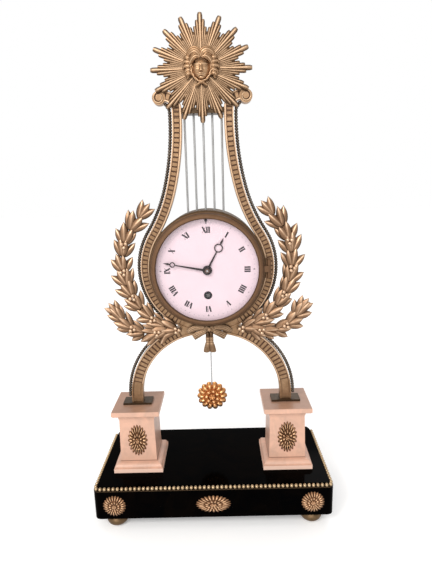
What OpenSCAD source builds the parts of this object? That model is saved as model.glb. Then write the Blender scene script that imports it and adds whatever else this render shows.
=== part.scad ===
// Lyre mantel clock on a black slab: two pedestals carry an arched lyre that holds the drum of a
// pendulum timepiece. Millimetres, +Z up, the dial faces -Y, origin on the floor below the middle.

/* [Base] */
// Width of the black slab
base_w = 240; // [220:1:270]
// Depth of the black slab
base_d = 110; // [100:1:125]
// Height of the black slab
base_h = 34; // [28:1:42]
// Radius of the slab's upright corners
base_corner = 6; // [5:0.5:9]
// Height of the bun feet
foot_h = 13.5; // [10:0.5:18]
// Largest diameter of a bun foot
foot_d = 22; // [18:0.5:26]
// Distance from a foot's axis to the slab's ends
foot_inset_x = 20; // [16:1:28]
// Distance from a foot's axis to the slab's front and back
foot_inset_y = 14; // [13:1:28]
// Diameter of the edging beads
edge_bead_d = 3.6; // [3:0.1:4]
// Spacing of the edging beads
edge_bead_pitch = 4.3; // [4.1:0.1:6]
// Height that the slab's front ornaments stand proud
ornament_relief = 3.5; // [2.5:0.25:5]
// Diameter of the round rosettes
rosette_d = 23; // [18:0.5:26]
// Distance from a rosette's middle to the slab's end
rosette_inset = 21; // [18:0.5:30]
// Width of the long patera on the slab
slab_patera_w = 35; // [28:1:42]
// Height of the long patera on the slab
slab_patera_h = 19; // [15:0.5:22]

/* [Pedestals] */
// Distance from the slab's end to a pedestal's middle
pedestal_inset = 42; // [39:0.5:45]
// Height of a pedestal
pedestal_h = 68; // [60:1:80]
// Distance from the slab's middle forward to the pedestals' middles
pedestal_forward = 4; // [0:0.5:8]
// Width of the plinth
plinth_w = 51; // [46:0.5:56]
// Height of the plinth
plinth_h = 4.6; // [3.5:0.1:7]
// Width of the die at its foot
die_foot_w = 37.8; // [34:0.2:40]
// Width of the die below the cap
die_top_w = 35.9; // [33:0.2:37]
// Width of the cap
cap_w = 49; // [44:0.5:54]
// Thickness of the cap slab
cap_t = 5.2; // [4:0.1:7]
// Height of the mouldings above the plinth and below the cap
moulding_h = 5.4; // [4:0.1:7]
// Width of the upright patera on a pedestal
patera_w = 20.5; // [16:0.5:24]
// Height of the upright patera on a pedestal
patera_h = 35; // [28:0.5:38]

/* [Lyre] */
// Thickness of the lyre, front to back
lyre_t = 9; // [7:0.5:11]
// Width of an arm
arm_w = 8.8; // [7.5:0.1:10]
// Width of a leg
leg_w = 11.8; // [10:0.1:13.5]
// Radius of the legs' arch along its middle line
leg_r = 73; // [70:0.5:75]
// Height of the upright stub below the arch
leg_rise = 6.3; // [4:0.1:10]
// Thickness of a leg's foot plate
leg_plate_t = 2.2; // [1.5:0.1:3]
// Angle above level at which an arm leaves the dial's ring
arm_leave = 33; // [28:0.5:38]
// Angle at which the arm's two reverse curves meet
arm_join = 15; // [12:0.5:18]
// Radius of the first reverse curve
arm_low_r = 150; // [135:1:165]
// Radius of the second reverse curve
arm_high_r = 250; // [230:1:270]
// Length of the arm's upright neck, which takes the crossbar
arm_neck = 8.2; // [7:0.1:12]
// Radius of the crook at the arm's top
crook_r = 11; // [10:0.5:14]
// Radius of the volute
volute_r = 6; // [5:0.25:7]
// Depth of the channel in an arm's or leg's front
channel_deep = 1.2; // [0.6:0.1:2]
// Spacing of the blocks in the channel
block_pitch = 4.2; // [3.6:0.1:6]
// Diameter of the pearls along the lyre's outside
pearl_d = 2.8; // [2.2:0.1:3.2]
// Gap between the pearls and the lyre
pearl_gap = 0.9; // [0.4:0.1:0.95]
// Height of the crossbar
crossbar_h = 5; // [4:0.1:6]
// Diameter of a string
string_d = 2; // [1.4:0.1:2.6]
// Gap between the outermost strings and the arms
string_gap = 1.45; // [1:0.05:3]

/* [Ornament] */
// Radius of the sunburst to its longest rays
sun_r = 45.5; // [40:0.5:50]
// Height of the sunburst's middle above the crossbar
sun_rise = 32; // [26:0.5:36]
// Groups of rays
ray_groups = 16; // [12:2:20]
// Width of the head mask, hair included
mask_w = 32; // [26:0.5:36]
// Length of a laurel leaf
leaf_l = 17; // [13:0.5:20]
// Width of a laurel leaf
leaf_w = 5.6; // [4.5:0.1:7]
// Width of the bow
bow_w = 45.5; // [38:0.5:52]
// Length of the tassels
tassel_l = 19; // [15:0.5:24]

/* [Clock] */
// Radius of the drum
drum_r = 57; // [55:0.5:60]
// Wall of the drum
drum_wall = 1.6; // [1.2:0.1:2.4]
// Depth of the drum
drum_depth = 50; // [48:0.5:58]
// How much of the drum's edge shows round the bezel
bezel_rim = 1.6; // [1:0.1:3]
// Width of the bezel
bezel_w = 6; // [5:0.1:6.4]
// Thickness of the enamel dial
dial_t = 1.6; // [1.2:0.1:1.8]
// Angle of the hour hand from twelve
hour_angle = 28; // [0:1:359]
// Angle of the minute hand from twelve
minute_angle = 281; // [0:1:359]
// How far the minute hand ends short of the bezel
minute_short = 6.4; // [4:0.1:12]
// How far the hour hand ends short of the bezel
hour_short = 14.4; // [12:0.1:24]
// Radius of the keyhole
keyhole_r = 4.1; // [3.6:0.1:4.6]
// Distance from the dial's middle down to the winding square
barrel_drop = 25; // [24:0.1:26]
// Side of the winding square
square_w = 2.8; // [2.4:0.1:3]
// Distance between the movement's plates
plate_gap = 25; // [24.5:0.1:26]
// Radius of the back plate
back_plate_r = 46; // [44:0.5:48]
// Length of the pendulum from its bending line to the bob's middle
pendulum_l = 191.6; // [180:0.2:200]
// Radius of the bob
bob_r = 17; // [14:0.5:19]
// Diameter of the pendulum rod
rod_d = 1.6; // [1.2:0.1:2]
// Widest half swing of the pendulum, in degrees
swing = 4; // [2:0.5:5]
// Running clearance of arbors and pins in their holes
fit = 0.05; // [0.03:0.01:0.08]
// Clearance between pieces that seat on a curve
seat = 0.2; // [0.1:0.05:0.3]

/* [Hidden] */
$fn = 64;

slab_y = ornament_relief / 2;
slab_top = foot_h + base_h;
lyre_y = slab_y - pedestal_forward;
pedestal_x = base_w / 2 - pedestal_inset;
pedestal_top = slab_top + pedestal_h;
leg_z = pedestal_top + leg_plate_t + leg_rise;
ring_r = drum_r + seat + arm_w / 2;
ring_out = ring_r + arm_w / 2;
dial_z = leg_z + leg_r + ring_r;
leg_cx = pedestal_x - leg_r;

// The arm's curves, in the dial's own plane: x outwards and z up from the dial's middle
function along(r, a) = [r * cos(a), r * sin(a)];
low_c = along(ring_r + arm_low_r, arm_leave);
low_end = low_c - along(arm_low_r, arm_join);
high_c = low_end + along(arm_high_r, arm_join);
neck_x = high_c[0] - arm_high_r;
neck_z = high_c[1];
crook_x = neck_x + crook_r;
crook_z = neck_z + arm_neck;
volute_x = crook_x + 4.7;
volute_z = crook_z + crook_r + arm_w / 2 - volute_r;
crossbar_z = crook_z - crossbar_h;
sun_z = crook_z + sun_rise;
pearl_off = pearl_gap + pearl_d / 2;

// Places along Y, from the lyre's middle plane, the front being negative
front_y = -lyre_t / 2;
sun_back = front_y - 2;
sun_t = 2.6;
drum_front = -12;
drum_rear = drum_front + drum_depth;
drum_in = drum_r - drum_wall;
dial_front = drum_front - dial_t;
bezel_back = dial_front - 0.2;
bezel_d = 6.8;
bezel_r = drum_r - bezel_rim;
dial_show_r = bezel_r - bezel_w;
minute_l = dial_show_r - minute_short;
hour_l = dial_show_r - hour_short;
glass_r = dial_show_r + 1.8;
glass_seat = bezel_back - 2.2;
glass_t = 1.4;
glass_rise = 5.4;
hinge_x = drum_r + 2.6;
hinge_y = drum_front - 1.7;
hinge_r = 2;
hinge_pin_r = 0.9;
knuckle_h = 6;
plate_t = 2;
front_plate_y = -5;
back_plate_y = front_plate_y + plate_gap;
cock_y = back_plate_y + plate_t;
pendulum_y = cock_y + 9;

// Going train: teeth, leaves and modules
great_n = 84;
inter_leaf = 12;
great_m = 0.45;
inter_n = 72;
centre_leaf = 9;
inter_m = 0.45;
centre_n = 80;
third_leaf = 8;
centre_m = 0.4;
third_n = 80;
escape_leaf = 8;
third_m = 0.35;
escape_n = 41;
escape_r = 10;
escape_rise = 24.5;
pallet_rise = 38.5;
cannon_leaf = 10;
motion_n = 30;
motion_leaf = 8;
hour_n = 32;
motion_m = 0.5;
ratchet_n = 24;
ratchet_r = 7.5;
arbor_r = 1.2;
pivot_r = 0.7;
winding_r = 2;
pallet_r = 1;

// The point at distance a from p and b from q, to the right of the line from p to q if side is 1
function meet(p, q, a, b, side) =
    let (d = norm(q - p), u = (q - p) / d, k = (a * a - b * b + d * d) / (2 * d))
    p + k * u + side * sqrt(a * a - k * k) * [u[1], -u[0]];
function mesh_distance(n1, n2, m) = m * (n1 + n2) / 2;
barrel_p = [0, -barrel_drop];
centre_p = [0, 0];
escape_p = [0, escape_rise];
pallet_p = [0, pallet_rise];
inter_p = meet(barrel_p, centre_p, mesh_distance(great_n, inter_leaf, great_m),
    mesh_distance(inter_n, centre_leaf, inter_m), 1);
third_p = meet(centre_p, escape_p, mesh_distance(centre_n, third_leaf, centre_m),
    mesh_distance(third_n, escape_leaf, third_m), -1);
motion_p = along(mesh_distance(motion_n, cannon_leaf, motion_m), 150);
click_p = [13, 9 - barrel_drop];
function bearing(p, q) = atan2(q[1] - p[1], q[0] - p[0]);

gilt = "darkgoldenrod";
brass = "goldenrod";
steel = "slategray";
marble = "mistyrose";

// Placing helpers. A flat drawing faces the viewer: its x is X and its y is Z.
module clock() {
    translate([0, lyre_y, dial_z]) children();
}
module at(p) {
    translate([p[0], 0, p[1]]) children();
}
module flat(y0, y1) {
    translate([0, y1, 0]) rotate([90, 0, 0]) linear_extrude(y1 - y0) children();
}
module turned(r, y0, y1) {
    translate([0, y1, 0]) rotate([90, 0, 0]) cylinder(r = r, h = y1 - y0);
}
module revolved() {
    rotate([90, 0, 0]) rotate_extrude() children();
}
module both_sides(side) {
    mirror([side < 0 ? 1 : 0, 0, 0]) children();
}

// Slab, edging and feet
module slab_outline(inset) {
    w = base_w / 2 - inset;
    front = base_d / 2 - inset;
    r = base_corner - inset;
    back = base_d / 2;
    translate([0, slab_y]) {
        translate([-w, r - front]) square([2 * w, back + front - r - base_corner]);
        translate([r - w, -front]) square([2 * (w - r), back + front]);
        for (s = [-1, 1]) {
            translate([s * (w - r), r - front]) circle(r);
            translate([s * (w - base_corner), back - base_corner]) circle(base_corner);
        }
    }
}
module base_slab() {
    color("black") {
        translate([0, 0, foot_h]) linear_extrude(base_h - edge_bead_d) slab_outline(0);
        translate([0, 0, slab_top - edge_bead_d - 0.01]) linear_extrude(edge_bead_d + 0.01)
            slab_outline(edge_bead_d + 0.15);
    }
}

// Runs up the left side, round the front and down the right side, half a bead in from the slab's edge
bead_in = edge_bead_d / 2 + 0.1;
bead_turn_r = base_corner - bead_in;
bead_side = base_d - 2 * base_corner;
bead_front = base_w - 2 * base_corner;
bead_turn = bead_turn_r * PI / 2;
bead_run = 2 * bead_side + 2 * bead_turn + bead_front;
function half_run(s) = s < bead_front / 2 ? [s, bead_in - base_d / 2] :
    s < bead_front / 2 + bead_turn ?
        let (a = (s - bead_front / 2) / bead_turn_r * 180 / PI - 90)
        [bead_front / 2, base_corner - base_d / 2] + along(bead_turn_r, a) :
    [base_w / 2 - bead_in, base_corner - base_d / 2 + s - bead_front / 2 - bead_turn];
module base_beading() {
    strip_t = 0.8;
    n = floor(bead_run / edge_bead_pitch / 2);
    step = (bead_run / 2 - edge_bead_d / 2) / n;
    ledge = slab_top - edge_bead_d;
    color(brass) {
        difference() {
            translate([0, 0, ledge]) linear_extrude(strip_t) slab_outline(0.2);
            translate([0, 0, ledge - 1]) linear_extrude(strip_t + 2) slab_outline(edge_bead_d - 0.2);
            translate([-base_w, slab_y + base_d / 2 - base_corner, ledge - 1])
                cube([2 * base_w, base_corner + 1, 5]);
        }
        for (i = [-n:n]) {
            p = half_run(abs(i) * step);
            translate([(i < 0 ? -1 : 1) * p[0], slab_y + p[1], ledge + strip_t + edge_bead_d / 2 - 0.5])
                sphere(d = edge_bead_d, $fn = 24);
        }
    }
}
module bun_feet() {
    r = foot_d / 2;
    color(gilt) for (sx = [-1, 1], sy = [-1, 1])
        translate([sx * (base_w / 2 - foot_inset_x), slab_y + sy * (base_d / 2 - foot_inset_y), 0])
            rotate_extrude() polygon(concat(
                [[0, 0], [r * 0.62, 0]],
                [for (a = [-58:14.5:58]) [r * (0.42 + 0.58 * cos(a)), foot_h * (0.42 + 0.42 * sin(a))]],
                [[r * 0.78, foot_h * 0.8], [r * 0.86, foot_h * 0.86], [r * 0.86, foot_h], [0, foot_h]]));
}

// A flower in low relief: scalloped plate, two rings of petals, an inner ring and a button. The places
// round an oval are shifted so that the petals stand at even distances.
module flower(w, h, relief, petals) {
    spacing = PI * (w + h) / 2 / petals / (1 + 1.1 * PI / petals);
    petal_r = 0.55 * spacing;
    rx = w / 2 - petal_r;
    rz = h / 2 - petal_r;
    skew = (rz - rx) / (rz + rx) * 90 / PI;
    inner = round(petals * 0.55);
    intersection() {
        union() {
            for (i = [0:petals - 1]) {
                t = i * 360 / petals;
                a = t - skew * sin(2 * t);
                translate([rx * cos(a), 0.1, rz * sin(a)]) sphere(petal_r, $fn = 24);
                u = (i + 0.5) * 360 / petals;
                b = u - skew * sin(2 * u);
                translate([0.72 * rx * cos(b), -relief * 0.2, 0.72 * rz * sin(b)])
                    sphere(petal_r * 0.9, $fn = 24);
            }
            for (i = [0:inner - 1]) {
                t = (i + 0.25) * 360 / inner;
                a = t - skew * sin(2 * t);
                translate([0.4 * rx * cos(a), -relief * 0.32, 0.4 * rz * sin(a)]) sphere(petal_r, $fn = 24);
            }
            translate([0, -relief * 0.3, 0]) sphere(relief * 0.69, $fn = 24);
            flat(-relief * 0.45, 1) polygon([for (a = [0:11.25:348.75]) [rx * cos(a), rz * sin(a)]]);
        }
        translate([-w, -relief, -h]) cube([2 * w, relief, 2 * h]);
    }
}
slab_front = slab_y - base_d / 2;
ornament_z = foot_h + (base_h - edge_bead_d) / 2;
module base_rosettes() {
    color(gilt) for (s = [-1, 1])
        translate([s * (base_w / 2 - rosette_inset), slab_front, ornament_z])
            flower(rosette_d, rosette_d, ornament_relief, 16);
}
module base_patera() {
    color(gilt) translate([0, slab_front, ornament_z])
        flower(slab_patera_w, slab_patera_h, ornament_relief, 20);
}

// Pedestals: the same outline seen from the front and from the side
die_z = plinth_h + moulding_h;
neck_z0 = pedestal_h - cap_t - moulding_h;
module pedestal_outline() {
    foot = die_foot_w / 2;
    top = die_top_w / 2;
    out = plinth_w / 2 - foot - 1.4;
    over = cap_w / 2 - top - 1.6;
    half = concat(
        [[plinth_w / 2, 0], [plinth_w / 2, plinth_h], [plinth_w / 2 - 0.9, plinth_h]],
        [for (a = [0:15:90]) [foot + 0.5 + out * cos(a), plinth_h + 0.4 + (moulding_h - 1.2) * sin(a)]],
        [[foot + 0.5, die_z], [foot, die_z], [top, neck_z0], [top + 0.6, neck_z0],
            [top + 0.6, neck_z0 + 1]],
        [for (a = [0:15:90]) [top + 0.6 + over * (1 - cos(a)), neck_z0 + 1 + (moulding_h - 1.4) * sin(a)]],
        [[cap_w / 2 - 1, pedestal_h - cap_t], [cap_w / 2, pedestal_h - cap_t + 0.6],
         [cap_w / 2, pedestal_h - 0.5], [cap_w / 2 - 0.5, pedestal_h]]);
    n = len(half);
    polygon(concat(half, [for (i = [n - 1:-1:0]) [-half[i][0], half[i][1]]]));
}
module pedestal(side) {
    color(marble) translate([side * pedestal_x, lyre_y, slab_top]) intersection() {
        flat(-plinth_w, plinth_w) pedestal_outline();
        rotate([0, 0, 90]) flat(-plinth_w, plinth_w) pedestal_outline();
    }
}
module pedestal_left() {
    pedestal(-1);
}
module pedestal_right() {
    pedestal(1);
}
module pedestal_patera(side) {
    taper = (die_foot_w - die_top_w) / 2;
    mid = (die_z + neck_z0) / 2;
    color(gilt) translate([side * pedestal_x, lyre_y - (die_foot_w + die_top_w) / 4 - 0.02, slab_top + mid])
        rotate([-atan(taper / (neck_z0 - die_z)), 0, 0]) flower(patera_w, patera_h, ornament_relief, 18);
}
module pedestal_patera_left() {
    pedestal_patera(-1);
}
module pedestal_patera_right() {
    pedestal_patera(1);
}

// Lyre: a bar with a channel down its front, between a narrow outer and a wider inner fillet
outer_fillet = 1.5;
inner_fillet = 2;
module bar_profile(w) {
    x = w / 2;
    t = lyre_t / 2;
    floor_y = t - channel_deep;
    polygon([[-x, -t], [x, -t], [x, t], [x - outer_fillet, t], [x - outer_fillet, floor_y],
        [inner_fillet - x, floor_y], [inner_fillet - x, t], [-x, t]]);
}
// Turned about c from angle a0 to a1 at radius r; the outer fillet looks towards c if inward
module bar_arc(w, c, r, a0, a1, inward) {
    translate([c[0], c[1], 0]) rotate([0, 0, a0]) rotate_extrude(angle = a1 - a0, $fn = 128)
        translate([r, 0])
        mirror([inward ? 1 : 0, 0]) bar_profile(w);
}
module blocks(w, c, r, a0, a1, inward) {
    wide = w - outer_fillet - inner_fillet - 0.6;
    off = (inner_fillet - outer_fillet) / 2 * (inward ? -1 : 1);
    n = floor((a1 - a0) * PI / 180 * r / block_pitch);
    translate([c[0], c[1], 0]) for (i = [0:n - 1])
        rotate([0, 0, a0 + (i + 0.5) * (a1 - a0) / n])
            translate([r + off, 0, lyre_t / 2 - channel_deep / 2 - 0.2])
                cube([wide, block_pitch * 0.7, channel_deep], center = true);
}
module lyre_front(side) {
    both_sides(side) clock() rotate([90, 0, 0]) children();
}
module arm(side) {
    color(gilt) lyre_front(side) {
        bar_arc(arm_w, [0, 0], ring_r, -90, arm_leave, false);
        blocks(arm_w, [0, 0], ring_r, -62, arm_leave, false);
        bar_arc(arm_w, low_c, arm_low_r, 180 + arm_join, 180 + arm_leave, true);
        blocks(arm_w, low_c, arm_low_r, 180 + arm_join, 180 + arm_leave, true);
        bar_arc(arm_w, high_c, arm_high_r, 180, 180 + arm_join, true);
        blocks(arm_w, high_c, arm_high_r, 180, 180 + arm_join, true);
        translate([neck_x, crook_z, 0]) rotate([90, 0, 0]) linear_extrude(arm_neck) bar_profile(arm_w);
        bar_arc(arm_w, [crook_x, crook_z], crook_r, 90, 180, true);
        blocks(arm_w, [crook_x, crook_z], crook_r, 95, 180, true);
        translate([crook_x, crook_z + crook_r, 0]) rotate([90, 0, 90])
            linear_extrude(volute_x - crook_x) mirror([1, 0]) bar_profile(arm_w);
        translate([volute_x, volute_z, -lyre_t / 2]) cylinder(r = volute_r, h = lyre_t);
        translate([volute_x, volute_z, -lyre_t / 2]) cylinder(r = volute_r * 0.45, h = lyre_t + 0.9);
    }
}
module arm_left() {
    arm(-1);
}
module arm_right() {
    arm(1);
}
// The arch ends this far from the middle, so that the legs stay apart
leg_end_x = 13.9;
leg_top_angle = acos((leg_end_x - leg_cx) / leg_r);
module leg(side) {
    c = [leg_cx, leg_z - dial_z];
    color(gilt) {
        difference() {
            lyre_front(side) {
                bar_arc(leg_w, c, leg_r, 0, leg_top_angle, false);
                blocks(leg_w, c, leg_r, 34, 70, false);
                translate([pedestal_x, c[1], 0]) rotate([90, 0, 0]) linear_extrude(leg_rise)
                    bar_profile(leg_w);
            }
            clock() turned(ring_out + 0.02, -lyre_t, lyre_t);
        }
        translate([side * pedestal_x - leg_w / 2 - 9, lyre_y - lyre_t / 2 - 3, pedestal_top])
            cube([leg_w + 18, lyre_t + 6, leg_plate_t]);
    }
}
module leg_left() {
    leg(-1);
}
module leg_right() {
    leg(1);
}

// Pearls threaded along the lyre's outside, each overlapping the next a little
pearl_pitch = pearl_d * 0.94;
module pearl_arc(c, r, a0, a1) {
    n = floor(abs(a1 - a0) * PI / 180 * r / pearl_pitch);
    for (i = [0:n]) {
        p = c + along(r, a0 + i * (a1 - a0) / n);
        translate([p[0], p[1], 0]) sphere(d = pearl_d, $fn = 24);
    }
}
module arm_pearls(side) {
    reach = arm_w / 2 + pearl_off;
    up = floor(arm_neck * 0.7 / pearl_pitch);
    color("dimgray") lyre_front(side) {
        pearl_arc([0, 0], ring_r + reach, -46, arm_leave);
        pearl_arc(low_c, arm_low_r - reach, 180 + arm_leave, 180 + arm_join);
        pearl_arc(high_c, arm_high_r - reach, 180 + arm_join, 180);
        for (i = [1:up])
            translate([neck_x + reach, neck_z + i * pearl_pitch, 0]) sphere(d = pearl_d, $fn = 24);
    }
}
module arm_pearls_left() {
    arm_pearls(-1);
}
module arm_pearls_right() {
    arm_pearls(1);
}
module leg_pearls(side) {
    r = leg_r + leg_w / 2 + pearl_off;
    color("dimgray") lyre_front(side) pearl_arc([leg_cx, leg_z - dial_z], r, 0, 52);
}
module leg_pearls_left() {
    leg_pearls(-1);
}
module leg_pearls_right() {
    leg_pearls(1);
}
bar_end = neck_x - arm_w / 2;
string_pitch = (bar_end - string_gap - string_d / 2) / 2;
module crossbar() {
    color(gilt) clock() translate([-bar_end, sun_back, crossbar_z])
        cube([2 * bar_end, lyre_t / 2 + 2.5 - sun_back, crossbar_h]);
}
module strings() {
    r = string_d / 2;
    color("gainsboro") clock() for (i = [-2:2]) {
        x = i * string_pitch;
        foot = sqrt(pow(drum_r, 2) - pow(max(abs(x) - r, 0), 2)) + 0.1;
        translate([x, 0, foot]) cylinder(r = r, h = crossbar_z - foot);
    }
}

// Sunburst: every group has one long ridged ray between two steps of shorter ones
ray_root = 11;
module ray(l, w, h) {
    shoulder = l * 0.86;
    hull() {
        linear_extrude(0.8) polygon([[ray_root, -w / 2], [shoulder, -w / 2], [l, 0], [shoulder, w / 2],
            [ray_root, w / 2]]);
        translate([ray_root, -0.15, 0]) cube([shoulder - ray_root, 0.3, h]);
    }
}
module sunburst() {
    step = 360 / ray_groups;
    color(gilt) clock() translate([0, sun_back, sun_z]) rotate([90, 0, 0]) {
        cylinder(r = ray_root + 3, h = sun_t, $fn = 32);
        for (g = [0:ray_groups - 1]) rotate([0, 0, 90 + g * step]) {
            ray(sun_r, 4.4, sun_t);
            for (s = [-1, 1]) {
                rotate([0, 0, s * step * 0.25]) ray(sun_r * 0.89, 3.6, sun_t * 0.8);
                rotate([0, 0, s * step * 0.44]) ray(sun_r * 0.76, 3.4, sun_t * 0.65);
            }
        }
    }
}
// Head mask: a plain egg of a face in a frame of locks, with a knot under the chin
module lock(p, q, r) {
    hull() {
        translate([p[0], p[1], 0]) cylinder(r = r, h = 0.6, $fn = 12);
        translate([p[0], p[1], r * 0.9]) sphere(r * 0.8, $fn = 10);
        translate([q[0], q[1], 0]) cylinder(r = r * 0.8, h = 0.6, $fn = 12);
        translate([q[0], q[1], r * 0.7]) sphere(r * 0.6, $fn = 10);
    }
}
module sun_mask() {
    face_back = sun_back - sun_t - 0.05;
    color(gilt) clock() translate([0, face_back, sun_z]) rotate([90, 0, 0]) scale(mask_w / 32) {
        hull() for (k = [[0, 1], [3.4, 0.93], [5.4, 0.78], [7, 0.5], [7.6, 0.2]])
            translate([0, -0.8, k[0]]) scale(k[1]) linear_extrude(0.5)
                polygon([for (a = [0:15:345]) [7.2 * cos(a), (8.8 - 1.2 * sin(a)) * sin(a)]]);
        for (s = [-1, 1]) {
            for (i = [0:4]) {
                a = 78 - i * 31;
                lock([7.4 * cos(a) * s, 1 + 7.8 * sin(a)], [12.6 * cos(a - 9) * s, 1 + 11 * sin(a - 9)],
                    3.2 - 0.1 * i);
            }
            lock([3.4 * s, -11], [0, -10], 2.9);
        }
    }
}

// Laurel: two sprays of pointed leaves with a rib, berries between them
function stem(a) = along(a < 18 ? 84 - 16 * pow((18 - a) / 86, 1.6) : 84 - 2.5 * pow((a - 18) / 24, 2),
    a) * ring_r / 61.6;
function low_stem(t) = (pow(1 - t, 2) * [38.5, -60] + 2 * t * (1 - t) * [78, -76] + t * t * [95,
    -36]) * ring_r / 61.6;
module leaf(l) {
    w = leaf_w / 2;
    hull() {
        linear_extrude(0.7) polygon([[0, 0], [l * 0.3, -w * 0.92], [l * 0.55, -w], [l * 0.8, -w * 0.55],
            [l, 0],
            [l * 0.8, w * 0.55], [l * 0.55, w], [l * 0.3, w * 0.92]]);
        translate([l * 0.12, -0.2, 0]) cube([l * 0.7, 0.4, 1.8]);
    }
}
module spray(points, lengths, spread) {
    for (i = [0:len(points) - 2]) {
        p = points[i];
        a = bearing(p, points[i + 1]);
        translate([p[0], p[1], 0]) rotate([0, 0, a]) {
            hull() {
                cylinder(r = 0.9, h = 1.6, $fn = 6);
                translate([norm(points[i + 1] - p), 0, 0]) cylinder(r = 0.9, h = 1.6, $fn = 6);
            }
            for (s = [-1, 1]) rotate([0, 0, s * spread + 1.5 * s * (i % 3)])
                translate([-0.3, 0, 0.12 + 0.06 * s]) leaf(lengths);
        }
        if (i % 2 == 0) for (k = [0:2])
            translate([p[0], p[1], 1.6] + concat(along(1.7, a + 60 + 120 * k), 0)) sphere(1.6, $fn = 6);
    }
    last = points[len(points) - 1];
    a = bearing(points[len(points) - 2], last);
    translate([last[0], last[1], 0]) for (s = [-1, 0, 1]) rotate([0, 0, a + s * spread])
        translate([-0.3, 0, 0.12 + 0.06 * s]) leaf(lengths * (1 - 0.03 * abs(s)));
}
module laurel(side) {
    color("olive") both_sides(side) clock() translate([0, front_y - 0.3, 0]) rotate([90, 0, 0]) {
        spray([for (a = [-66:8.8:40]) stem(a)], leaf_l, 29);
        spray([for (t = [0:0.2:0.8]) low_stem(t)], leaf_l * 0.95, 29);
    }
}
module laurel_left() {
    laurel(-1);
}
module laurel_right() {
    laurel(1);
}

// Bow over the foot of the lyre: knot, two loops and two tails, and a pair of tassels below
bow_z = -ring_r - 1;
module band(a, b, wa, wb) {
    hull() {
        translate([a[0], a[1], 0]) cylinder(d = wa, h = 1.6, $fn = 12);
        translate([b[0], b[1], 0]) cylinder(d = wb, h = 1.6, $fn = 12);
    }
}
module ribbon_bow() {
    k = bow_w / 45.5;
    color(gilt) clock() translate([0, front_y - 0.1, bow_z]) rotate([90, 0, 0]) {
        for (s = [-1, 1]) {
            band([0, 0], k * [s * 9, 3], k * 4, k * 6.5);
            band(k * [s * 9, 3], k * [s * 16, 0.5], k * 6.5, k * 6);
            band(k * [s * 16, 0.5], k * [s * 21, -4], k * 6, k * 3.5);
            band(k * [0, -1], k * [s * 8, -6], k * 3.5, k * 4);
            band(k * [s * 8, -6], k * [s * 13, -9], k * 4, k * 4.6);
        }
        cylinder(d = k * 7, h = 4.4, $fn = 16);
    }
}
module tassels() {
    top = bow_z - 3.8;
    color(gilt) clock() for (s = [-1, 1])
        translate([s * 3.4, front_y - 3.4, top - tassel_l])
            rotate_extrude() polygon([[0, 0], [3.1, 0], [2.9, tassel_l * 0.3], [2.1, tassel_l * 0.58],
                [1.6, tassel_l * 0.62],
                [2.2, tassel_l * 0.7], [2.2, tassel_l * 0.8], [1.4, tassel_l * 0.88], [1.2, tassel_l],
                    [0, tassel_l]]);
}

// Case of the clock
slot_w = 2 * ((drum_r + pallet_rise) * tan(swing) + rod_d + 2);
lip_l = 4;
cover_t = 1.4;
knob_d = 6.8;
module hinge_knuckle(z0, h) {
    translate([hinge_x, hinge_y, z0]) cylinder(r = hinge_r, h = h);
}
module drum_case() {
    color(brass) clock() difference() {
        union() {
            difference() {
                turned(drum_r, drum_front, drum_rear);
                turned(drum_in, drum_front - 1, drum_rear + 1);
            }
            for (s = [-1, 1]) {
                z0 = s > 0 ? knuckle_h / 2 + 0.2 : -1.5 * knuckle_h - 0.2;
                hinge_knuckle(z0, knuckle_h);
                translate([drum_r - drum_wall / 2, hinge_y, z0])
                    cube([hinge_x - drum_r + drum_wall / 2 + hinge_r * 0.6, 5, knuckle_h]);
            }
        }
        translate([hinge_x, hinge_y, -3 * knuckle_h]) cylinder(r = hinge_pin_r + fit, h = 6 * knuckle_h);
        turned(drum_in, drum_front - 3, drum_front + 4);
        translate([-slot_w / 2, pendulum_y - 4, -drum_r - 5])
            cube([slot_w, drum_rear - lip_l - pendulum_y + 3.8, drum_r]);
    }
}
module rear_cover() {
    r = drum_in - seat;
    k = knob_d / 6.8;
    color(brass) clock() {
        turned(drum_r, drum_rear, drum_rear + cover_t);
        difference() {
            turned(r, drum_rear - lip_l, drum_rear + 0.1);
            turned(r - 1.2, drum_rear - lip_l - 1, drum_rear);
        }
        translate([0, drum_rear + cover_t, 0]) rotate([-90, 0, 0]) rotate_extrude()
            polygon(k * [[0, -0.1], [2, -0.1], [1.6, 2], [3.4, 3.4], [3.4, 4.6], [2.4, 5.6], [0, 6]]);
    }
}
module bezel() {
    b = -bezel_back;
    step = glass_t + 0.3;
    s = -glass_seat;
    color(gilt) clock() difference() {
        union() {
            revolved() polygon(concat(
                [[glass_r + seat, b], [bezel_r, b], [bezel_r, b + 1.6]],
                [for (a = [0:15:75]) [bezel_r - 0.9 - (bezel_w - 2.4) * (1 - cos(a)),
                    b + 2 + (bezel_d - 2) * sin(a)]],
                [[dial_show_r + 1, b + bezel_d], [dial_show_r, b + bezel_d - 1], [dial_show_r, s + step],
                 [glass_r + seat, s + step]]));
            hinge_knuckle(-knuckle_h / 2, knuckle_h);
            translate([bezel_r - 2.4, bezel_back - 2.4, -knuckle_h / 2])
                cube([hinge_x - bezel_r + 2.4, 2.4, knuckle_h]);
        }
        translate([hinge_x, hinge_y, -knuckle_h]) cylinder(r = hinge_pin_r + fit, h = 2 * knuckle_h);
        turned(glass_r + seat, bezel_back - step, bezel_back + 1);
    }
}
module bezel_hinge_pin() {
    half = 1.5 * knuckle_h + 0.2;
    color(brass) clock() translate([hinge_x, hinge_y, 0]) {
        translate([0, 0, -half - 0.6]) cylinder(r = hinge_pin_r, h = 2 * half + 0.7);
        translate([0, 0, half]) cylinder(r1 = 1.3, r2 = 1, h = 0.9);
    }
}
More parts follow.
